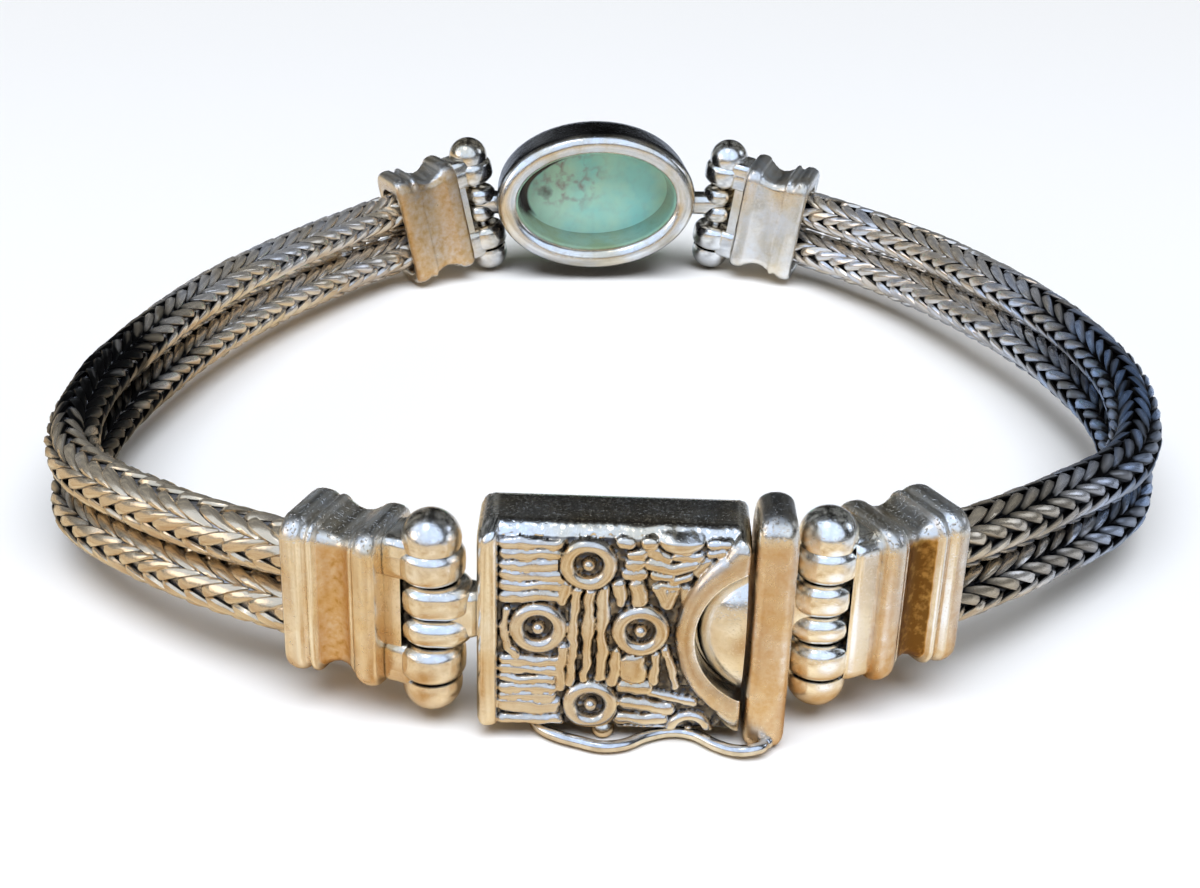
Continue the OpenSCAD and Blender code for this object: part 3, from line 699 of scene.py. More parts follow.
for name, hinge in hinges.items():
    side = outward[name.split("_")[1]]
    wrist = 1 if name.startswith("front") else -1
    brown, plate_brown, notch_y, ring_wear = cap_looks[name]
    bm = bmesh.new()
    rings = []
    for along, inset, plate in cap_rows:
        outer, inner = cap_t / 2 - inset, cap_t / 2 - plate
        low_y, high_y = (-outer, inner) if wrist > 0 else (-inner, outer)
        rings.append([hinge @ (Vector((side * along, y, z)) * mm) for y, z in
                      rounded_outline((low_y, cap_low + inset), (high_y, cap_top - inset),
                                      cap_corner - corner_loss * inset)])
    pocket_y = strand_r + pocket_gap
    pocket_z = strand_gap / 2 + pocket_y
    for along, gap in pocket_rows:
        rings.append([hinge @ (Vector((side * along, y, z)) * mm) for y, z in
                      rounded_outline((-pocket_y - gap, -pocket_z - gap), (pocket_y + gap, pocket_z + gap),
                                      cap_corner)])
    joined_rings(bm, rings)
    top, bottom = knuckle_ends[1] + knuckle_slack, knuckle_ends[3] - knuckle_slack
    # two webs carry the rings, and a plate with a round hollow closes the notch between them
    half = web_t / 2
    for low_z, high_z in ((top + 0.05, cap_top - 0.35), (cap_low + 0.2, bottom - 0.05)):
        ends = sorted((web_from * side, (cap_start + web_in) * side))
        block(bm, (ends[0], -half, low_z), (ends[1], half, high_z), web_round, hinge)
    open_by = math.asin(min(notch_most, notch_y / notch_r))
    hollow = [(notch_r * math.cos(open_by * k / 8), notch_r * math.sin(open_by * k / 8))
              for k in range(-8, 9)]
    corner_x, corner_y = hollow[-1]
    rounded = [(corner_x + notch_corner * (1 - math.cos(a)), corner_y + (notch_y - corner_y) * math.sin(a))
               for a in (math.pi / 8 * k for k in range(1, 5))] + [(cap_start + web_in, notch_y)]
    slab = hollow + rounded + [(x, -y) for x, y in rounded[::-1]]
    joined_rings(bm, [[hinge @ (Vector((side * (x + notch_slope * (1 - share)), share * y, level)) * mm)
                       for x, y in slab] for level, share in notch_rows])
    spun(bm, hinge, ball_and_ring(1, top))
    spun(bm, hinge, ball_and_ring(-1, -bottom))
    for high, low in ((knuckle_ends[0], top), (bottom, knuckle_ends[4])):
        spun(bm, hinge, bead(high, low, barrel_r - outer_ring_in), side * (cap_start - neck_short))
    tidy(bm)
    wears = bm.verts.layers.float.new("wear")
    grains = bm.verts.layers.float.new("grain")
    on_cap = hinge.inverted()
    for v in bm.verts:
        local = on_cap @ v.co / mm
        amount = sum(share for start, end, share in cap_wear if start < side * local.x < end)
        if amount > 0:
            amount *= brown * min(1, max(0, (brown_to - local.z) / 0.5))
        v[wears] = amount if local.y * wrist < cap_t / 2 - plate_from else plate_brown
        if side * local.x < rings_to:
            v[wears] = ring_wear
        v[grains] = min(1, max(0, (local.z - grainy_from) / 0.5)) * (side * local.x > body_from)
    cap = solid("end_cap_" + name, bm, cast_silver)
    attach(cap, "bracelet")
    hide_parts("cap_" + name)


# Clasp box: a hollow box of cast silver sheet. Its front plate carries the cast relief of
# ring-and-dot bosses and ridges, oxidised in its ground, with a half-round post at the left
# and a raised band round the opening for the thumb press. A lug holds two hinge knuckles.
box_w = 13.5
box_h = 11.5
box_t = 3.8
box_wall = 0.6
front_wall = 0.8
relief_depth = 0.35
box_low, box_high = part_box("clasp_box")
box_right = box_high.x / mm
box_left = box_right - box_w
box_front = box_low.y / mm
box_bottom = 0.8
box_x = box_right - box_w / 2
box_z = box_bottom + box_h / 2
top_over = 0.25
grid_step = 0.056
# Corner radii of the box's outline at its left end, and roundings of the front's edges
top_corner = 1.1
foot_corner = 0.5
end_corner = 0.8
top_round = 1.0
foot_round = 0.4
left_round = 0.5
right_round = 0.35
fall_most = 1.1
# Over these widths the relief runs out at the top, and at the foot and the open end
runout_top = 0.4
runout_end = 0.1
# Depth behind the front and inset of the outline, where the back's edges are rounded
back_steps = ((box_t - 0.5, 0), (box_t - 0.22, 0.06), (box_t - 0.07, 0.2), (box_t, 0.45))
hollow_round = 0.2
# The round opening: its middle is past the open end
arch_past = 1.4
arch_x = box_right + arch_past - box_x
arch_z = 0.1
arch_r = 4.0

# The relief's chart, in millimetres from the box's middle: bosses, then ridges as
# [half width, height, points of its line]
bosses = [(-1.2, 3.91), (-3.64, 0.2), (1.47, 0.19), (-0.92, -4.29)]
boss_crest = 1.07
boss_half = 0.4
boss_rise = 0.44
dot_r = 0.36
dot_rise = 0.5
ground_dark = 0.97
ridge_dark = 0.14
lines = [
    (0.22, 0.28, [(-5.29, 1.19), (-5.42, 0.14), (-5.19, -1.01), (-4.74, -1.42)]),
    (0.3, 0.32, [(-2.34, 2.75), (-2.42, 1.75)]),
    (0.26, 0.31, [(-1.75, 2.4), (-1.79, 1.3), (-1.85, 0.28), (-1.87, -1.0), (-1.95, -2.2), (-2.0, -3.0)]),
    (0.28, 0.34, [(-1.1, 2.35), (-1.12, 1.0), (-1.15, -0.75), (-1.2, -1.8), (-1.3, -2.7)]),
    (0.28, 0.34, [(-0.38, 2.6), (-0.44, 1.6), (-0.48, 0.4), (-0.42, -0.72), (-0.46, -2.6)]),
    (0.26, 0.31, [(-2.33, -0.95), (-2.55, -2.2), (-2.46, -3.35)]),
    (0.28, 0.31, [(0.3, -1.15), (0.33, -2.0), (0.08, -2.85)]),
    (0.33, 0.35, [(0.38, 2.8), (0.48, 1.85)]),
    (0.42, 0.35, [(1.28, 2.72), (1.42, 1.9)]),
    (0.3, 0.31, [(2.25, 2.6), (2.55, 1.95)]), (0.36, 0.33, [(2.95, 2.45), (2.72, 1.7)]),
    (0.2, 0.28, [(2.3, 2.75), (3.2, 2.75)]),
    (0.34, 0.3, [(0.4, 5.15), (0.75, 5.16)]), (0.32, 0.32, [(1.62, 5.12), (1.82, 5.14)]),
    (0.28, 0.28, [(0.85, 4.55), (1.35, 4.55)]), (0.3, 0.24, [(1.9, 4.62), (2.7, 4.4)]),
    (0.32, 0.3, [(0.85, 3.98), (1.25, 3.98)]), (0.3, 0.29, [(0.7, 3.4), (1.5, 3.38)]),
    (0.26, 0.28, [(2.05, 3.35), (2.75, 3.3)]), (0.26, 0.26, [(2.9, 3.02), (3.7, 3.3)]),
    (0.34, 0.33, [(1.9, 3.92), (3.0, 3.82), (3.95, 4.05)]),
    (0.3, 0.26, [(3.2, 4.5), (4.2, 4.45)]), (0.28, 0.3, [(4.75, 5.2), (5.5, 5.3)]),
    (0.26, 0.26, [(4.75, 4.6), (5.4, 4.7)]),
    (0.3, 0.2, [(4.2, 3.6), (4.6, 4.1)]), (0.3, 0.2, [(3.6, 2.6), (3.75, 2.0)]),
    (0.58, 0.35, [(1.22, -1.75), (1.2, -2.45)]),
    (0.28, 0.31, [(2.25, -1.3), (2.28, -2.75)]),
    (0.3, 0.33, [(2.78, -0.95), (2.82, -1.1)]),
    (0.24, 0.3, [(2.8, -1.0), (3.14, -2.08), (3.4, -3.05)]),
    (0.34, 0.32, [(0.65, -3.22), (1.9, -3.2)]),
    (0.24, 0.29, [(2.1, -3.42), (3.2, -3.7), (4.3, -4.0)]),
    (0.38, 0.33, [(0.8, -4.18), (2.0, -4.2), (3.05, -4.4)]),
    (0.34, 0.33, [(0.5, -5.08), (1.7, -5.1), (2.75, -5.1)]),
    (0.12, 0.22, [(0.5, -5.64), (2.8, -5.62)])]
# Rows of level ridges at the left: [highest, step down, number, from x, to x, half width]
rows_left = [(4.98, 0.6, 6, -5.3, -2.75, 0.33), (-1.75, 0.55, 5, -5.35, -2.8, 0.3),
             (-4.4, 0.1, 3, -5.35, -2.7, 0.36), (-5.32, 0.2, 1, -5.35, -2.6, 0.32)]
row_rise = 0.3
# A half boss at the foot: its middle, ring radius, half width and rise, and its dot
quarter = (4.15, -5.75, 0.95, 0.3, 0.36)
quarter_dot = (0.26, 0.3)
# A leaf at the top: its middle, half width, height, rise and soft edge
leaf = (3.3, 5.3, 1.15, 0.72, 0.42, 0.4)
# The post at the left: its middle, half width and rise
post = (-6.19, 0.56, 0.5)
# The band round the opening: its rise and outer radius, where its crest is, and how it widens
band_rise = 0.66
band_out = 4.96
band_crest = 0.45
band_inner_wear = 0.9
band_wider = 0.6
band_end = 0.86
band_end_wider = 5.5
# How far the hand-cut lines stray, over a coarse and a fine size, and how the rest varies
stray_coarse = 0.08
stray_fine = 0.045
coarse = 0.9
fine = 0.35
fullness = 1.1
fullness_varies = 0.22
row_strays = 0.09
row_end_strays = 0.3
ring_strays = 0.025
ground_rough = 0.05
ground_from = -5.7


def uneven(x, z, size, seed):
    """Smooth random numbers from -1 to 1 that change over a size, as a hand-cut wax does."""
    table = np.random.default_rng(seed).uniform(-1, 1, (256, 256))
    u, w = x / size + 128, z / size + 128
    i, j = np.floor(u).astype(int), np.floor(w).astype(int)
    s, t = u - i, w - j
    s, t = s * s * (3 - 2 * s), t * t * (3 - 2 * t)
    return ((table[i, j] * (1 - s) + table[i + 1, j] * s) * (1 - t)
            + (table[i, j + 1] * (1 - s) + table[i + 1, j + 1] * s) * t)


def to_line(x, z, points):
    """Distances of many places from a bent line."""
    found = np.full(x.shape, 1e9)
    for (ax, az), (bx, bz) in zip(points, points[1:]):
        dx, dz = bx - ax, bz - az
        t = np.clip(((x - ax) * dx + (z - az) * dz) / (dx * dx + dz * dz), 0, 1)
        found = np.minimum(found, np.hypot(x - ax - t * dx, z - az - t * dz))
    return found


def half_round(distance, half_width, rise):
    """Height of a round-edged ridge at distances from its middle line."""
    return rise * np.sqrt(np.clip(1 - np.abs(distance / half_width) ** 2.1, 0, 1))


def relief_height(x, z):
    """Height of the relief over its ground, at places on the front plate."""
    wavy_x = x + stray_coarse * uneven(x, z, coarse, 1) + stray_fine * uneven(x, z, fine, 2)
    wavy_z = z + stray_coarse * uneven(x, z, coarse, 3) + stray_fine * uneven(x, z, fine, 4)
    swell = fullness + fullness_varies * uneven(x, z, 0.6, 5)
    height = np.zeros(x.shape)
    for half_width, rise, points in lines:
        height = np.maximum(height, half_round(to_line(wavy_x, wavy_z, points), half_width * swell, rise))
    for start, step, number, from_x, to_x, half_width in rows_left:
        for k in range(number):
            level = start - k * step + row_strays * uneven(x, z, 1.1, 20 + k)
            past_end = x - to_x + row_end_strays * uneven(x, z, 0.8, 40 + k)
            ends = np.maximum(np.maximum(from_x - x, past_end), 0)
            far = np.hypot(wavy_z - level, ends)
            height = np.maximum(height, half_round(far, half_width * swell, row_rise))
    height = np.maximum(height, half_round(x - post[0], post[1], post[2]))
    # a leaf hangs from the top edge
    cx, cz, half_x, half_z, most, edge = leaf
    inside = 1 - ((x - cx) / half_x) ** 2 - (np.minimum(z - cz, 0) / half_z) ** 2
    leaf_rise = most * np.sqrt(np.clip(inside, 0, 1)) * np.clip(1 - (z - cz) / edge, 0, 1)
    height = np.maximum(height, leaf_rise)
    # a band with a worn inner edge runs round the opening, and is wider towards its ends
    out = np.hypot(x - arch_x, z - arch_z)
    sine = np.abs(z - arch_z) / out
    widening = band_wider * sine ** 2.5 + band_end_wider * np.clip(sine - band_end, 0, 1)
    share = (out - arch_r) / (band_out + widening - arch_r + 0.05 * uneven(x, z, 1.2, 6))
    outer = np.sqrt(np.clip(1 - ((share - band_crest) / (1 - band_crest)) ** 2, 0, 1))
    inner = 1 - band_inner_wear * (band_crest - np.clip(share, 0, 1)) ** 2
    crest = np.where(share > band_crest, outer, inner)
    height = np.where(share < 1, np.maximum(height, band_rise * crest), height)
    for cx, cz in bosses:
        out = np.hypot(x - cx, z - cz) * (1 + ring_strays * uneven(x, z, 0.9, 7))
        boss = half_round(out - boss_crest, boss_half, boss_rise)
        height = np.where(out < boss_crest + boss_half, boss, height)
        height = np.where(out < boss_crest, np.maximum(boss, half_round(out, dot_r, dot_rise)), height)
    cx, cz, radius, half_width, most = quarter
    out = np.hypot(x - cx, z - cz)
    ring = np.maximum(half_round(out - radius, half_width, most), half_round(out, *quarter_dot))
    height = np.where(out < radius + half_width, ring, height)
    # the bare ground between them is rough from the casting
    bare = np.clip(1 - height / row_rise, 0, 1) * (x > ground_from)
    return height + bare * (ground_rough * uneven(x, z, 0.2, 8) + ground_rough * uneven(x, z, 0.4, 9))


def edge_fall(distance, radius):
    """How far a rounded edge falls back at a distance inside the outline."""
    inside = np.clip(radius - distance, 0, radius)
    return radius - np.sqrt(np.maximum(radius * radius - inside * inside, 0))


def outline_end(x, corner, right_corner):
    """How far the box's outline comes in at its round corners."""
    left = edge_fall(x + box_w / 2, corner)
    return left + edge_fall(box_w / 2 - x, right_corner)


bm = bmesh.new()
bmesh.ops.create_grid(bm, x_segments=int(box_w / grid_step), y_segments=int(box_h / grid_step), size=1)
flat = np.array([v.co for v in bm.verts])
x = flat[:, 0] * box_w / 2
top = box_h / 2 + top_over - outline_end(x, top_corner, end_corner)
foot = box_h / 2 - outline_end(x, foot_corner, 0.1)
z = np.where(flat[:, 1] > 0, flat[:, 1] * top, flat[:, 1] * foot)
fall = np.sqrt(edge_fall(top - z, top_round) ** 2 + edge_fall(z + foot, foot_round) ** 2
               + edge_fall(x + box_w / 2, left_round) ** 2 + edge_fall(box_w / 2 - x, right_round) ** 2)
rise = relief_height(x, z)
# the relief runs out at the top, at the foot and at the open end
rise *= np.clip((top - z) / runout_top, 0, 1)
rise *= np.clip((z + foot) / runout_end, 0, 1)
rise *= np.clip((box_w / 2 - x) / runout_end, 0, 1)
y = box_front + relief_depth + np.minimum(fall, fall_most) - rise
for v, at_x, at_y, at_z in zip(bm.verts, x, y, z):
    v.co = Vector((box_x + at_x, at_y, box_z + at_z)) * mm
rim = [e for e in bm.edges if e.is_boundary]
# the sides, top and foot run back from that rim, and end in the back's rounded edges
for depth, inset in back_steps:
    made = bmesh.ops.extrude_edge_only(bm, edges=rim)["geom"]
    rim = [e for e in made if isinstance(e, bmesh.types.BMEdge) and e.is_boundary]
    for v in {v for e in rim for v in e.verts}:
        v.co.y = (box_front + depth) * mm
        v.co.x = max(v.co.x, (box_left + inset) * mm)
        v.co.z = min(max(v.co.z, (box_bottom + inset) * mm), (box_bottom + box_h + top_over - inset) * mm)
bmesh.ops.contextual_create(bm, geom=rim)
tidy(bm)
box = solid("box", bm, cast_silver)


def cut(made, *tools):
    """Cuts other solids out of one, and removes them."""
    for tool in tools:
        cutter = made.modifiers.new("cut", "BOOLEAN")
        cutter.operation = "DIFFERENCE"
        cutter.solver = "EXACT"
        cutter.object = tool
    whole = bpy.data.meshes.new_from_object(made.evaluated_get(bpy.context.evaluated_depsgraph_get()))
    made.modifiers.clear()
    made.data = whole
    for tool in tools:
        bpy.data.objects.remove(tool)


bm = bmesh.new()
block(bm, (box_left + box_wall, box_front + relief_depth + front_wall, box_bottom + box_wall),
      (box_right + 1, box_front + box_t - box_wall, box_bottom + box_h - box_wall), hollow_round)
hollow = solid("hollow", bm, cast_silver)
bm = bmesh.new()
arch_at = Matrix.Translation(Vector((box_x + arch_x, box_front, box_z + arch_z)) * mm)
bmesh.ops.create_cone(bm, cap_ends=True, segments=160, radius1=arch_r * mm, radius2=arch_r * mm,
                      depth=3 * mm, matrix=arch_at @ Matrix.Rotation(math.pi / 2, 4, "X"))
opening = solid("opening", bm, cast_silver)
cut(box, hollow, opening)

bm = bmesh.new()
bm.from_mesh(box.data)
bpy.data.objects.remove(box)
# the relief's ground is blackened, its ridges and the band are a little brown, and the back is grainy
black_under = 0.2
relief_brown = 0.18
band_brown = 0.5
back_grain = 0.5
back_from = 1.2
# It lies below the top edge and to the right of the post
relief_top = box_h / 2 - 0.45
relief_left = -5.75
oxide_and_painted_shade_layer = bm.verts.layers.float.new("oxide_and_painted_shade")
at = np.array([v.co for v in bm.verts]) / mm
x, z = at[:, 0] - box_x, at[:, 2] - box_z
wears = bm.verts.layers.float.new("wear")
grains = bm.verts.layers.float.new("grain")
depth = np.clip(1 - relief_height(x, z) / black_under, 0, 1)
on_relief = (at[:, 1] < box_front + relief_depth + 0.5) & (z < relief_top) & (x > relief_left)
out = np.hypot(x - arch_x, z - arch_z)
on_relief &= out > arch_r + 0.05
for v, value, patterned, banded in zip(bm.verts, depth, on_relief, out < band_out + 0.1):
    v[oxide_and_painted_shade_layer] = patterned * (ridge_dark + (ground_dark - ridge_dark) * value)
    v[wears] = patterned * (band_brown if banded else relief_brown)
    v[grains] = back_grain * (v.co.y > (box_front + back_from) * mm)
middle_r = 1.6
middle_out = 0.6
lug_r = 1.0
lug_short = 0.3
lug_sink = 0.5


def middle_knuckles(bm, hinge, reach, lug_reach):
    """The two middle knuckles, drawn out to their plate, and one thinner lug that joins them
    to it."""
    for high, low in zip(knuckle_ends[1:3], knuckle_ends[2:4]):
        spun(bm, hinge, bead(high, low, middle_r), reach)
    spun(bm, hinge, bead(knuckle_ends[1] - lug_short, knuckle_ends[3] + lug_short, lug_r), lug_reach)


hinge = Matrix.Translation(hinges["front_left"].translation)
middle_knuckles(bm, hinge, middle_out, box_left - hinge.translation.x / mm - lug_r + lug_sink)
# the ball stud under the box, that the safety clip snaps over
stud_r = 0.6
stud_at = Vector((0.6, -35.75, box_bottom - 0.3)) + loop_at
bmesh.ops.create_uvsphere(bm, u_segments=24, v_segments=16, radius=stud_r * mm,
                          matrix=Matrix.Translation(stud_at * mm))
box = solid("relief_box", bm, cast_silver)
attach(box, "bracelet")
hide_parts("clasp_box")


# End plate and tongue: the plate that closes the box's open end, soldered to the folded
# spring tongue inside it. It carries the right hinge's two middle knuckles, and the safety
# clip turns in two small holes near its foot.
plate_t = 2.1
plate_d = 3.9
plate_x = box_right + 0.16
plate_y = -34.95 + loop_at.y
# Levels of the plate, whose top is domed: height, inset of its sides, inset of front and back
plate_rows = [
    (0.00, 0.50, 0.70), (0.06, 0.30, 0.45), (0.22, 0.14, 0.24), (0.50, 0.05, 0.10), (0.90, 0.00, 0.02),
    (3.00, 0.00, 0.00), (7.00, 0.00, 0.00), (11.30, 0.00, 0.00), (11.90, 0.01, 0.03), (12.35, 0.04, 0.09),
    (12.70, 0.08, 0.18), (13.00, 0.16, 0.31), (13.22, 0.27, 0.46), (13.38, 0.40, 0.64), (13.48, 0.54, 0.84),
    (13.54, 0.70, 1.10), (13.57, 0.86, 1.45)]
plate_corner = 0.6
# Heights where its brown ends, and where its top starts to be grainy and then darkened with painted shade
brown_end = 12.2
grain_start = 12.9
painted_shade_start = 13.1
plate_wear = 0.65
painted_top_shade = 0.6
# Its knuckles are drawn out by this share of the box's
reach_share = 0.4
leaf_t = 0.5
leaf_h = 6.8
leaf_round = 0.1
leaf_play = 0.15
leaf_front = box_front + relief_depth + front_wall + leaf_play
leaf_back = box_front + box_t - box_wall - leaf_play
fold_x = box_left + 2.15
leaf_z = box_z + arch_z
leaf_low = leaf_z - leaf_h / 2
leaf_high = leaf_z + leaf_h / 2

bm = bmesh.new()
rings = []
for level, side_in, front_in in plate_rows:
    half_x, half_y = plate_t / 2 - side_in, plate_d / 2 - front_in
    rings.append([Vector((plate_x + plate_t / 2 + x, plate_y + y, level)) * mm for x, y in
                  rounded_outline((-half_x, -half_y), (half_x, half_y), min(plate_corner, 0.95 * half_x))])
joined_rings(bm, rings)
hinge = Matrix.Translation(hinges["front_right"].translation)
middle_knuckles(bm, hinge, -reach_share * middle_out,
                plate_x + plate_t - hinge.translation.x / mm + lug_r - lug_sink)
outer_fold = fold_x - leaf_play - leaf_t
block(bm, (outer_fold, leaf_back - leaf_t, leaf_low), (plate_x + 0.2, leaf_back, leaf_high), leaf_round)
block(bm, (outer_fold, leaf_front, leaf_low), (outer_fold + leaf_t, leaf_back, leaf_high), leaf_round)
tidy(bm)
# the plate is brown, with a grainy top darkened by painted shade, and its knuckles are worn as the cap's
# rings are
wears = bm.verts.layers.float.new("wear")
oxide_and_painted_shade_layer = bm.verts.layers.float.new("oxide_and_painted_shade")
grains = bm.verts.layers.float.new("grain")
for v in bm.verts:
    if plate_x < v.co.x / mm < plate_x + plate_t + 0.01:
        v[wears] = plate_wear * (v.co.z < brown_end * mm)
        v[oxide_and_painted_shade_layer] = painted_top_shade * (v.co.z > painted_shade_start * mm)
        v[grains] = v.co.z > grain_start * mm
    elif v.co.x / mm > plate_x + plate_t:
        v[wears] = cap_looks["front_right"][3]
plate = solid("end_plate_and_tongue", bm, cast_silver)
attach(plate, "bracelet")
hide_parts("clasp_tongue")


# Thumb press: the tongue's upper leaf with a half dome soldered on. The dome is pushed in
# to free the tongue, and is worn bright by the thumb.
press_gap = 0.15
press_rise = 2.0
dome_fullness = 0.85
dome_r = arch_r - press_gap
leaf_end = box_right - 0.1
dome_at = Vector((box_x + arch_x, leaf_front, leaf_z)) * mm

bm = bmesh.new()
bmesh.ops.create_uvsphere(bm, u_segments=128, v_segments=64, radius=1,
                          matrix=Matrix.Rotation(math.pi / 2, 4, "X"))
for v in bm.verts:
    rise = math.copysign(abs(v.co.y) ** dome_fullness, v.co.y)
    v.co = dome_at + Vector((dome_r * v.co.x, press_rise * rise, dome_r * v.co.z)) * mm
for point, normal in (((0, leaf_front + 0.02, 0), (0, 1, 0)), ((leaf_end, 0, 0), (1, 0, 0))):
    whole = bm.verts[:] + bm.edges[:] + bm.faces[:]
    kept = bmesh.ops.bisect_plane(bm, geom=whole, dist=1e-7, plane_co=Vector(point) * mm, plane_no=normal,
                                  clear_outer=True)
    rim = [e for e in kept["geom_cut"] if isinstance(e, bmesh.types.BMEdge)]
    bmesh.ops.contextual_create(bm, geom=rim)
block(bm, (fold_x, leaf_front, leaf_low), (leaf_end, leaf_front + leaf_t, leaf_high), leaf_round)
tidy(bm)
press = solid("thumb_dome", bm, cast_silver)
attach(press, "press")
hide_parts("thumb_press")


# Safety clip: one bent silver wire, a figure of eight that swings up under the box and
# snaps over the ball stud. Its two ends turn in the end plate.
clip_r = 0.31
# One side of the figure of eight: x, distance from its middle line
clip_path = [(9.0, 1.9), (8.6, 2.42), (7.6, 2.55), (6.4, 2.0), (5.3, 1.15), (4.1, 0.95), (2.8, 1.45),
             (1.75, 2.2), (0.6, 2.45), (-0.6, 2.1), (-1.8, 1.6), (-2.7, 0.9), (-3, 0)]
clip_z = 0.42
clip_axis_z = 0.62
# From here the wire rises to its pins, over this length
clip_lift_x = 7
clip_lift_over = 1.5
clip_pin_in = 0.55
clip_steps = 6


def clip_point(x, out):
    rise = max(0, min(1, (x - clip_lift_x) / clip_lift_over))
    return Vector((x + loop_at.x, plate_y + out, clip_z + (clip_axis_z - clip_z) * rise))


bends = [Vector((x, out)) for x, out in clip_path]
past_end = Vector((bends[-2].x, -bends[-2].y))
bends = curve_through([bends[0] + Vector((1, 0)), *bends, past_end], clip_steps)
pin_x, eye_out = clip_path[0]
pin_out = plate_d / 2 - clip_pin_in
wire_line = [clip_point(p.x, -p.y) for p in bends] + [clip_point(p.x, p.y) for p in bends[-2::-1]]
wire_line = [clip_point(pin_x, -pin_out)] + wire_line + [clip_point(pin_x, pin_out)]
wire = bpy.data.curves.new("clip_wire", "CURVE")
wire.dimensions = "3D"
wire.bevel_depth = clip_r * mm
wire.bevel_resolution = 5
wire.use_fill_caps = True
spline = wire.splines.new("POLY")
spline.points.add(len(wire_line) - 1)
for point, at in zip(spline.points, wire_line):
    point.co = (*(at * mm), 1)
swept = bpy.data.objects.new("clip_wire", wire)
bpy.context.scene.collection.objects.link(swept)
bm = bmesh.new()
bm.from_mesh(swept.to_mesh())
bpy.data.objects.remove(swept)
# balls round off the two sharp bends where the wire turns into its pin holes
for out in (-eye_out, eye_out):
    bmesh.ops.create_uvsphere(bm, u_segments=20, v_segments=12, radius=(clip_r + 0.03) * mm,
                              matrix=Matrix.Translation(clip_point(pin_x, out) * mm))
tidy(bm)
clip = solid("wire_clip", bm, wire_silver)
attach(clip, "clip")
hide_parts("safety_clip")


# Oval setting: a deep cast bezel, open at the back, with a round rim that shows inside
# the wrist. Lugs on both sides carry the back hinges' middle knuckles.
oval_a = 8.2
oval_b = 5.8
oval_sides = 96
setting_at = Vector((-0.87, 28.2, 6.8)) + loop_at
setting_turn = (0, -2, 5)
lean_room = 0.25
back_r = 1.42
neck_r = 0.9
# Darkening of the recess behind the rim, elsewhere and, as painted shadow, in its upper left
# corner, how far the recess is inside the outline, where that corner starts, and darkening of the wall
recess_dark = (0.3, 1)
recess_in = 1.6
painted_shadow_corner = (-2.5, 0.2)
wall_dark = 1
# Section of the bezel: [depth behind the rim, inset from the widest outline]
bezel = [(5.2, 0.65), (5.12, 0.4), (4.9, 0.26), (4.2, 0.18), (2.6, 0.1), (1.2, 0.02), (0.7, 0.04),
         (0.35, 0.16), (0.12, 0.38), (0.02, 0.62), (0.0, 0.86), (0.04, 1.1), (0.12, 1.32), (0.26, 1.52),
         (0.46, 1.66), (0.7, 1.74), (1.0, 1.78), (1.5, 1.84), (3.3, 2.08), (3.6, 2.1), (3.6, 1.1),
         (4.6, 1.08), (5.1, 1.0), (5.2, 0.86)]
setting = Matrix.Translation(setting_at * mm) @ turned(*setting_turn)


def oval(depth, inset):
    """Points of the setting's oval at a depth behind its rim."""
    return [setting @ (Vector(((oval_a - inset) * math.cos(a), depth, (oval_b - inset) * math.sin(a))) * mm)
            for a in (2 * math.pi * k / oval_sides for k in range(oval_sides))]


bm = bmesh.new()
joined_rings(bm, [oval(*row) for row in bezel], closed=True)
for name, way in (("back_left", 1), ("back_right", -1)):
    hinge = Matrix.Translation(hinges[name].translation) @ turned(0, 0, setting_turn[2])
    reach = abs(hinge.translation.x / mm - setting_at.x) - oval_a
    high, low = knuckle_ends[1] - lean_room, knuckle_ends[3] + lean_room
    neck = (high - low) * 0.3
    spun(bm, hinge, bead((high + low) / 2 + neck, (high + low) / 2 - neck, neck_r), way * reach)
    spun(bm, hinge, bead(high, (high + low) / 2, back_r))
    spun(bm, hinge, bead((high + low) / 2, low, back_r))
tidy(bm)
# the recess behind the rim and the outer wall are darkened, and the recess's upper left corner is black with
# painted shadow
oxide_and_painted_shade_layer = bm.verts.layers.float.new("oxide_and_painted_shade")
for v in bm.verts:
    local = setting.inverted() @ v.co / mm
    across = math.hypot(local.x / (oval_a - recess_in), local.z / (oval_b - recess_in))
    if across < 1 and local.y > 0.8:
        v[oxide_and_painted_shade_layer] = recess_dark[local.x < painted_shadow_corner[0] and local.z > painted_shadow_corner[1]]
    elif across > 1.2 and local.y > 0.6 and abs(local.x) < oval_a:
        v[oxide_and_painted_shade_layer] = wall_dark
bezel_ring = solid("oval_bezel", bm, cast_silver)
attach(bezel_ring, "bracelet")
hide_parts("stone_setting")


# Turquoise: an oval cabochon, flat inside the wrist and domed outside, polished. Pale
# green-blue stone with a web of brown-grey matrix.
stone_depth = 3.6
stone_rise = 3.3
stone_in = 1.2
girdle = 0.8
dome_in = 3.4
face_in = 3.6
face_swell = 0.5
stone_blue = "#A0EAD6"
stone_green = "#C4F2CE"
painted_shadow_dark = "#161310"
matrix_brown = "#9C8474"
matrix_dark = "#4A4038"
# The crescent of painted shadow: how far it is inside the edge, its direction and spread in degrees
crescent_in = 2.7
crescent_way = 155
crescent_spread = 55
web_at = setting @ Vector((-1.7 * mm, 3.2 * mm, 1.9 * mm))
speck_at = setting @ Vector((-3.6 * mm, 3.2 * mm, 0.5 * mm))

turquoise, tree = new_material("polished turquoise")
place = add(tree, "ShaderNodeTexCoord").outputs["Object"]
# the colour clouds over about 4 mm from blue to green
cloud = add(tree, "ShaderNodeTexNoise", {"Vector": place, "Scale": 1 / (4 * mm), "Detail": 4})
hue = add(tree, "ShaderNodeMapRange", {"Value": cloud.outputs["Fac"], "From Min": 0.38, "From Max": 0.62})
body = add(tree, "ShaderNodeMix", {0: hue.outputs[0], 6: linear(stone_blue), 7: linear(stone_green)},
           data_type="RGBA")
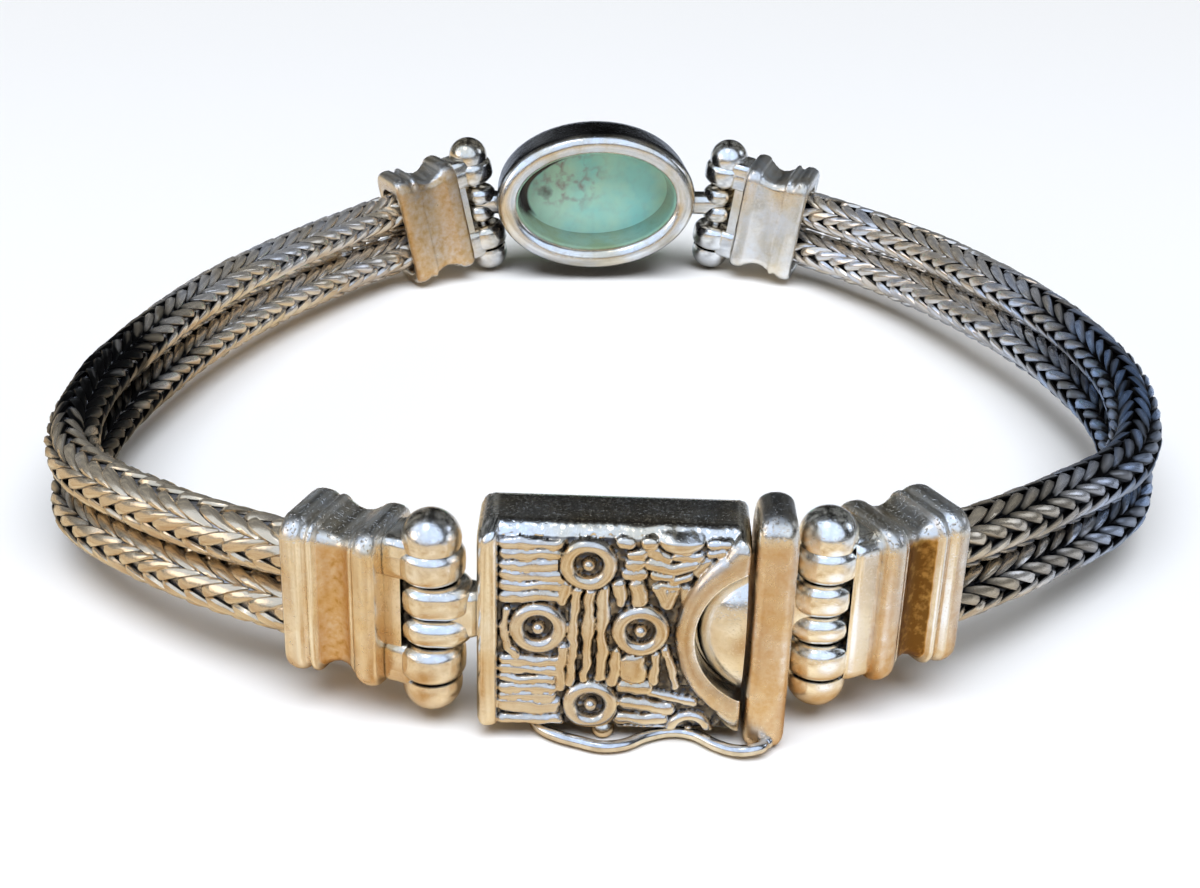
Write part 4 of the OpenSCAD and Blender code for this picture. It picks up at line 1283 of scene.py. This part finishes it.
# the brown web has cells of about 1.3 mm, and fills one patch of the stone
warp = add(tree, "ShaderNodeTexNoise", {"Vector": place, "Scale": 1 / (0.8 * mm), "Detail": 3})
push = add(tree, "ShaderNodeVectorMath", {0: warp.outputs["Color"], 1: (0.8 * mm, 0.8 * mm, 0.8 * mm)},
           operation="MULTIPLY")
bent = add(tree, "ShaderNodeVectorMath", {0: place, 1: push.outputs[0]}, operation="ADD")
web = add(tree, "ShaderNodeTexVoronoi", {"Vector": bent.outputs[0], "Scale": 1 / (1.3 * mm)},
          feature="DISTANCE_TO_EDGE")
vein = add(tree, "ShaderNodeMapRange", {"Value": web.outputs["Distance"], "From Min": 0.0, "From Max": 0.2,
                                        "To Min": 0.8, "To Max": 0.1})
broken = add(tree, "ShaderNodeMapRange", {"Value": warp.outputs["Fac"], "From Min": 0.4, "From Max": 0.62})
to_web = add(tree, "ShaderNodeVectorMath", {0: bent.outputs[0], 1: web_at}, operation="DISTANCE")
where = add(tree, "ShaderNodeMapRange", {"Value": to_web.outputs["Value"], "From Min": 1.6 * mm,
                                         "From Max": 3.6 * mm, "To Min": 1, "To Max": 0.12})
there = add(tree, "ShaderNodeMath", {0: broken.outputs[0], 1: where.outputs[0]}, operation="MULTIPLY")
veined = add(tree, "ShaderNodeMath", {0: vein.outputs[0], 1: there.outputs[0]}, operation="MULTIPLY")
webbed = add(tree, "ShaderNodeMix", {0: veined.outputs[0], 6: body.outputs[2], 7: linear(matrix_brown)},
             data_type="RGBA")
# one dark speck of iron beside it
spot = add(tree, "ShaderNodeVectorMath", {0: bent.outputs[0], 1: speck_at}, operation="DISTANCE")
speck = add(tree, "ShaderNodeMapRange", {"Value": spot.outputs["Value"], "From Min": 0.3 * mm,
                                         "From Max": 0.75 * mm, "To Min": 0.75, "To Max": 0})
specked = add(tree, "ShaderNodeMix", {0: speck.outputs[0], 6: webbed.outputs[2], 7: linear(matrix_dark)},
              data_type="RGBA")
# and a crescent of painted shadow darkens the upper left of its edge
layer = add(tree, "ShaderNodeAttribute", attribute_name="gap").outputs["Fac"]
crescent = add(tree, "ShaderNodeMapRange", {"Value": layer, "From Min": 0.42, "From Max": 0.58})
shade = add(tree, "ShaderNodeMix", {0: crescent.outputs[0], 6: specked.outputs[2], 7: linear(painted_shadow_dark)},
            data_type="RGBA")
skin = add(tree, "ShaderNodeBsdfPrincipled", {"Base Color": shade.outputs[2], "Roughness": 0.22, "IOR": 1.61,
                                              "Coat Weight": 0.3, "Coat Roughness": 0.08})
add(tree, "ShaderNodeOutputMaterial", {"Surface": skin.outputs[0]})

bm = bmesh.new()
# levels of the slightly swollen face inside the wrist, and of the dome outside it
face = [math.radians(a) for a in range(15, 91, 15)]
dome = [math.radians(a) for a in range(0, 80, 10)]
levels = [(stone_depth + 0.05 - face_swell * math.cos(a), stone_in + 0.06 + face_in * (1 - math.sin(a)))
          for a in face]
dome_rise = stone_rise - girdle
levels += [(stone_depth + girdle + dome_rise * math.sin(a), stone_in + dome_in * (1 - math.cos(a)))
           for a in dome]
joined_rings(bm, [oval(*level) for level in levels])
tidy(bm)
# the painted shadow lies on the stone's edge, round its upper left
painted_shadow_layer = bm.verts.layers.float.new("gap")
for v in bm.verts:
    local = setting.inverted() @ v.co / mm
    across = math.hypot(local.x / (oval_a - crescent_in), local.z / (oval_b - crescent_in))
    from_middle = abs(math.degrees(math.atan2(local.z, local.x)) % 360 - crescent_way)
    if local.y < stone_depth + 0.1 and across > 1:
        v[painted_shadow_layer] = max(0, 1.3 - from_middle / crescent_spread)
stone = solid("cabochon", bm, turquoise)
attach(stone, "bracelet")
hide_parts("turquoise_stone")
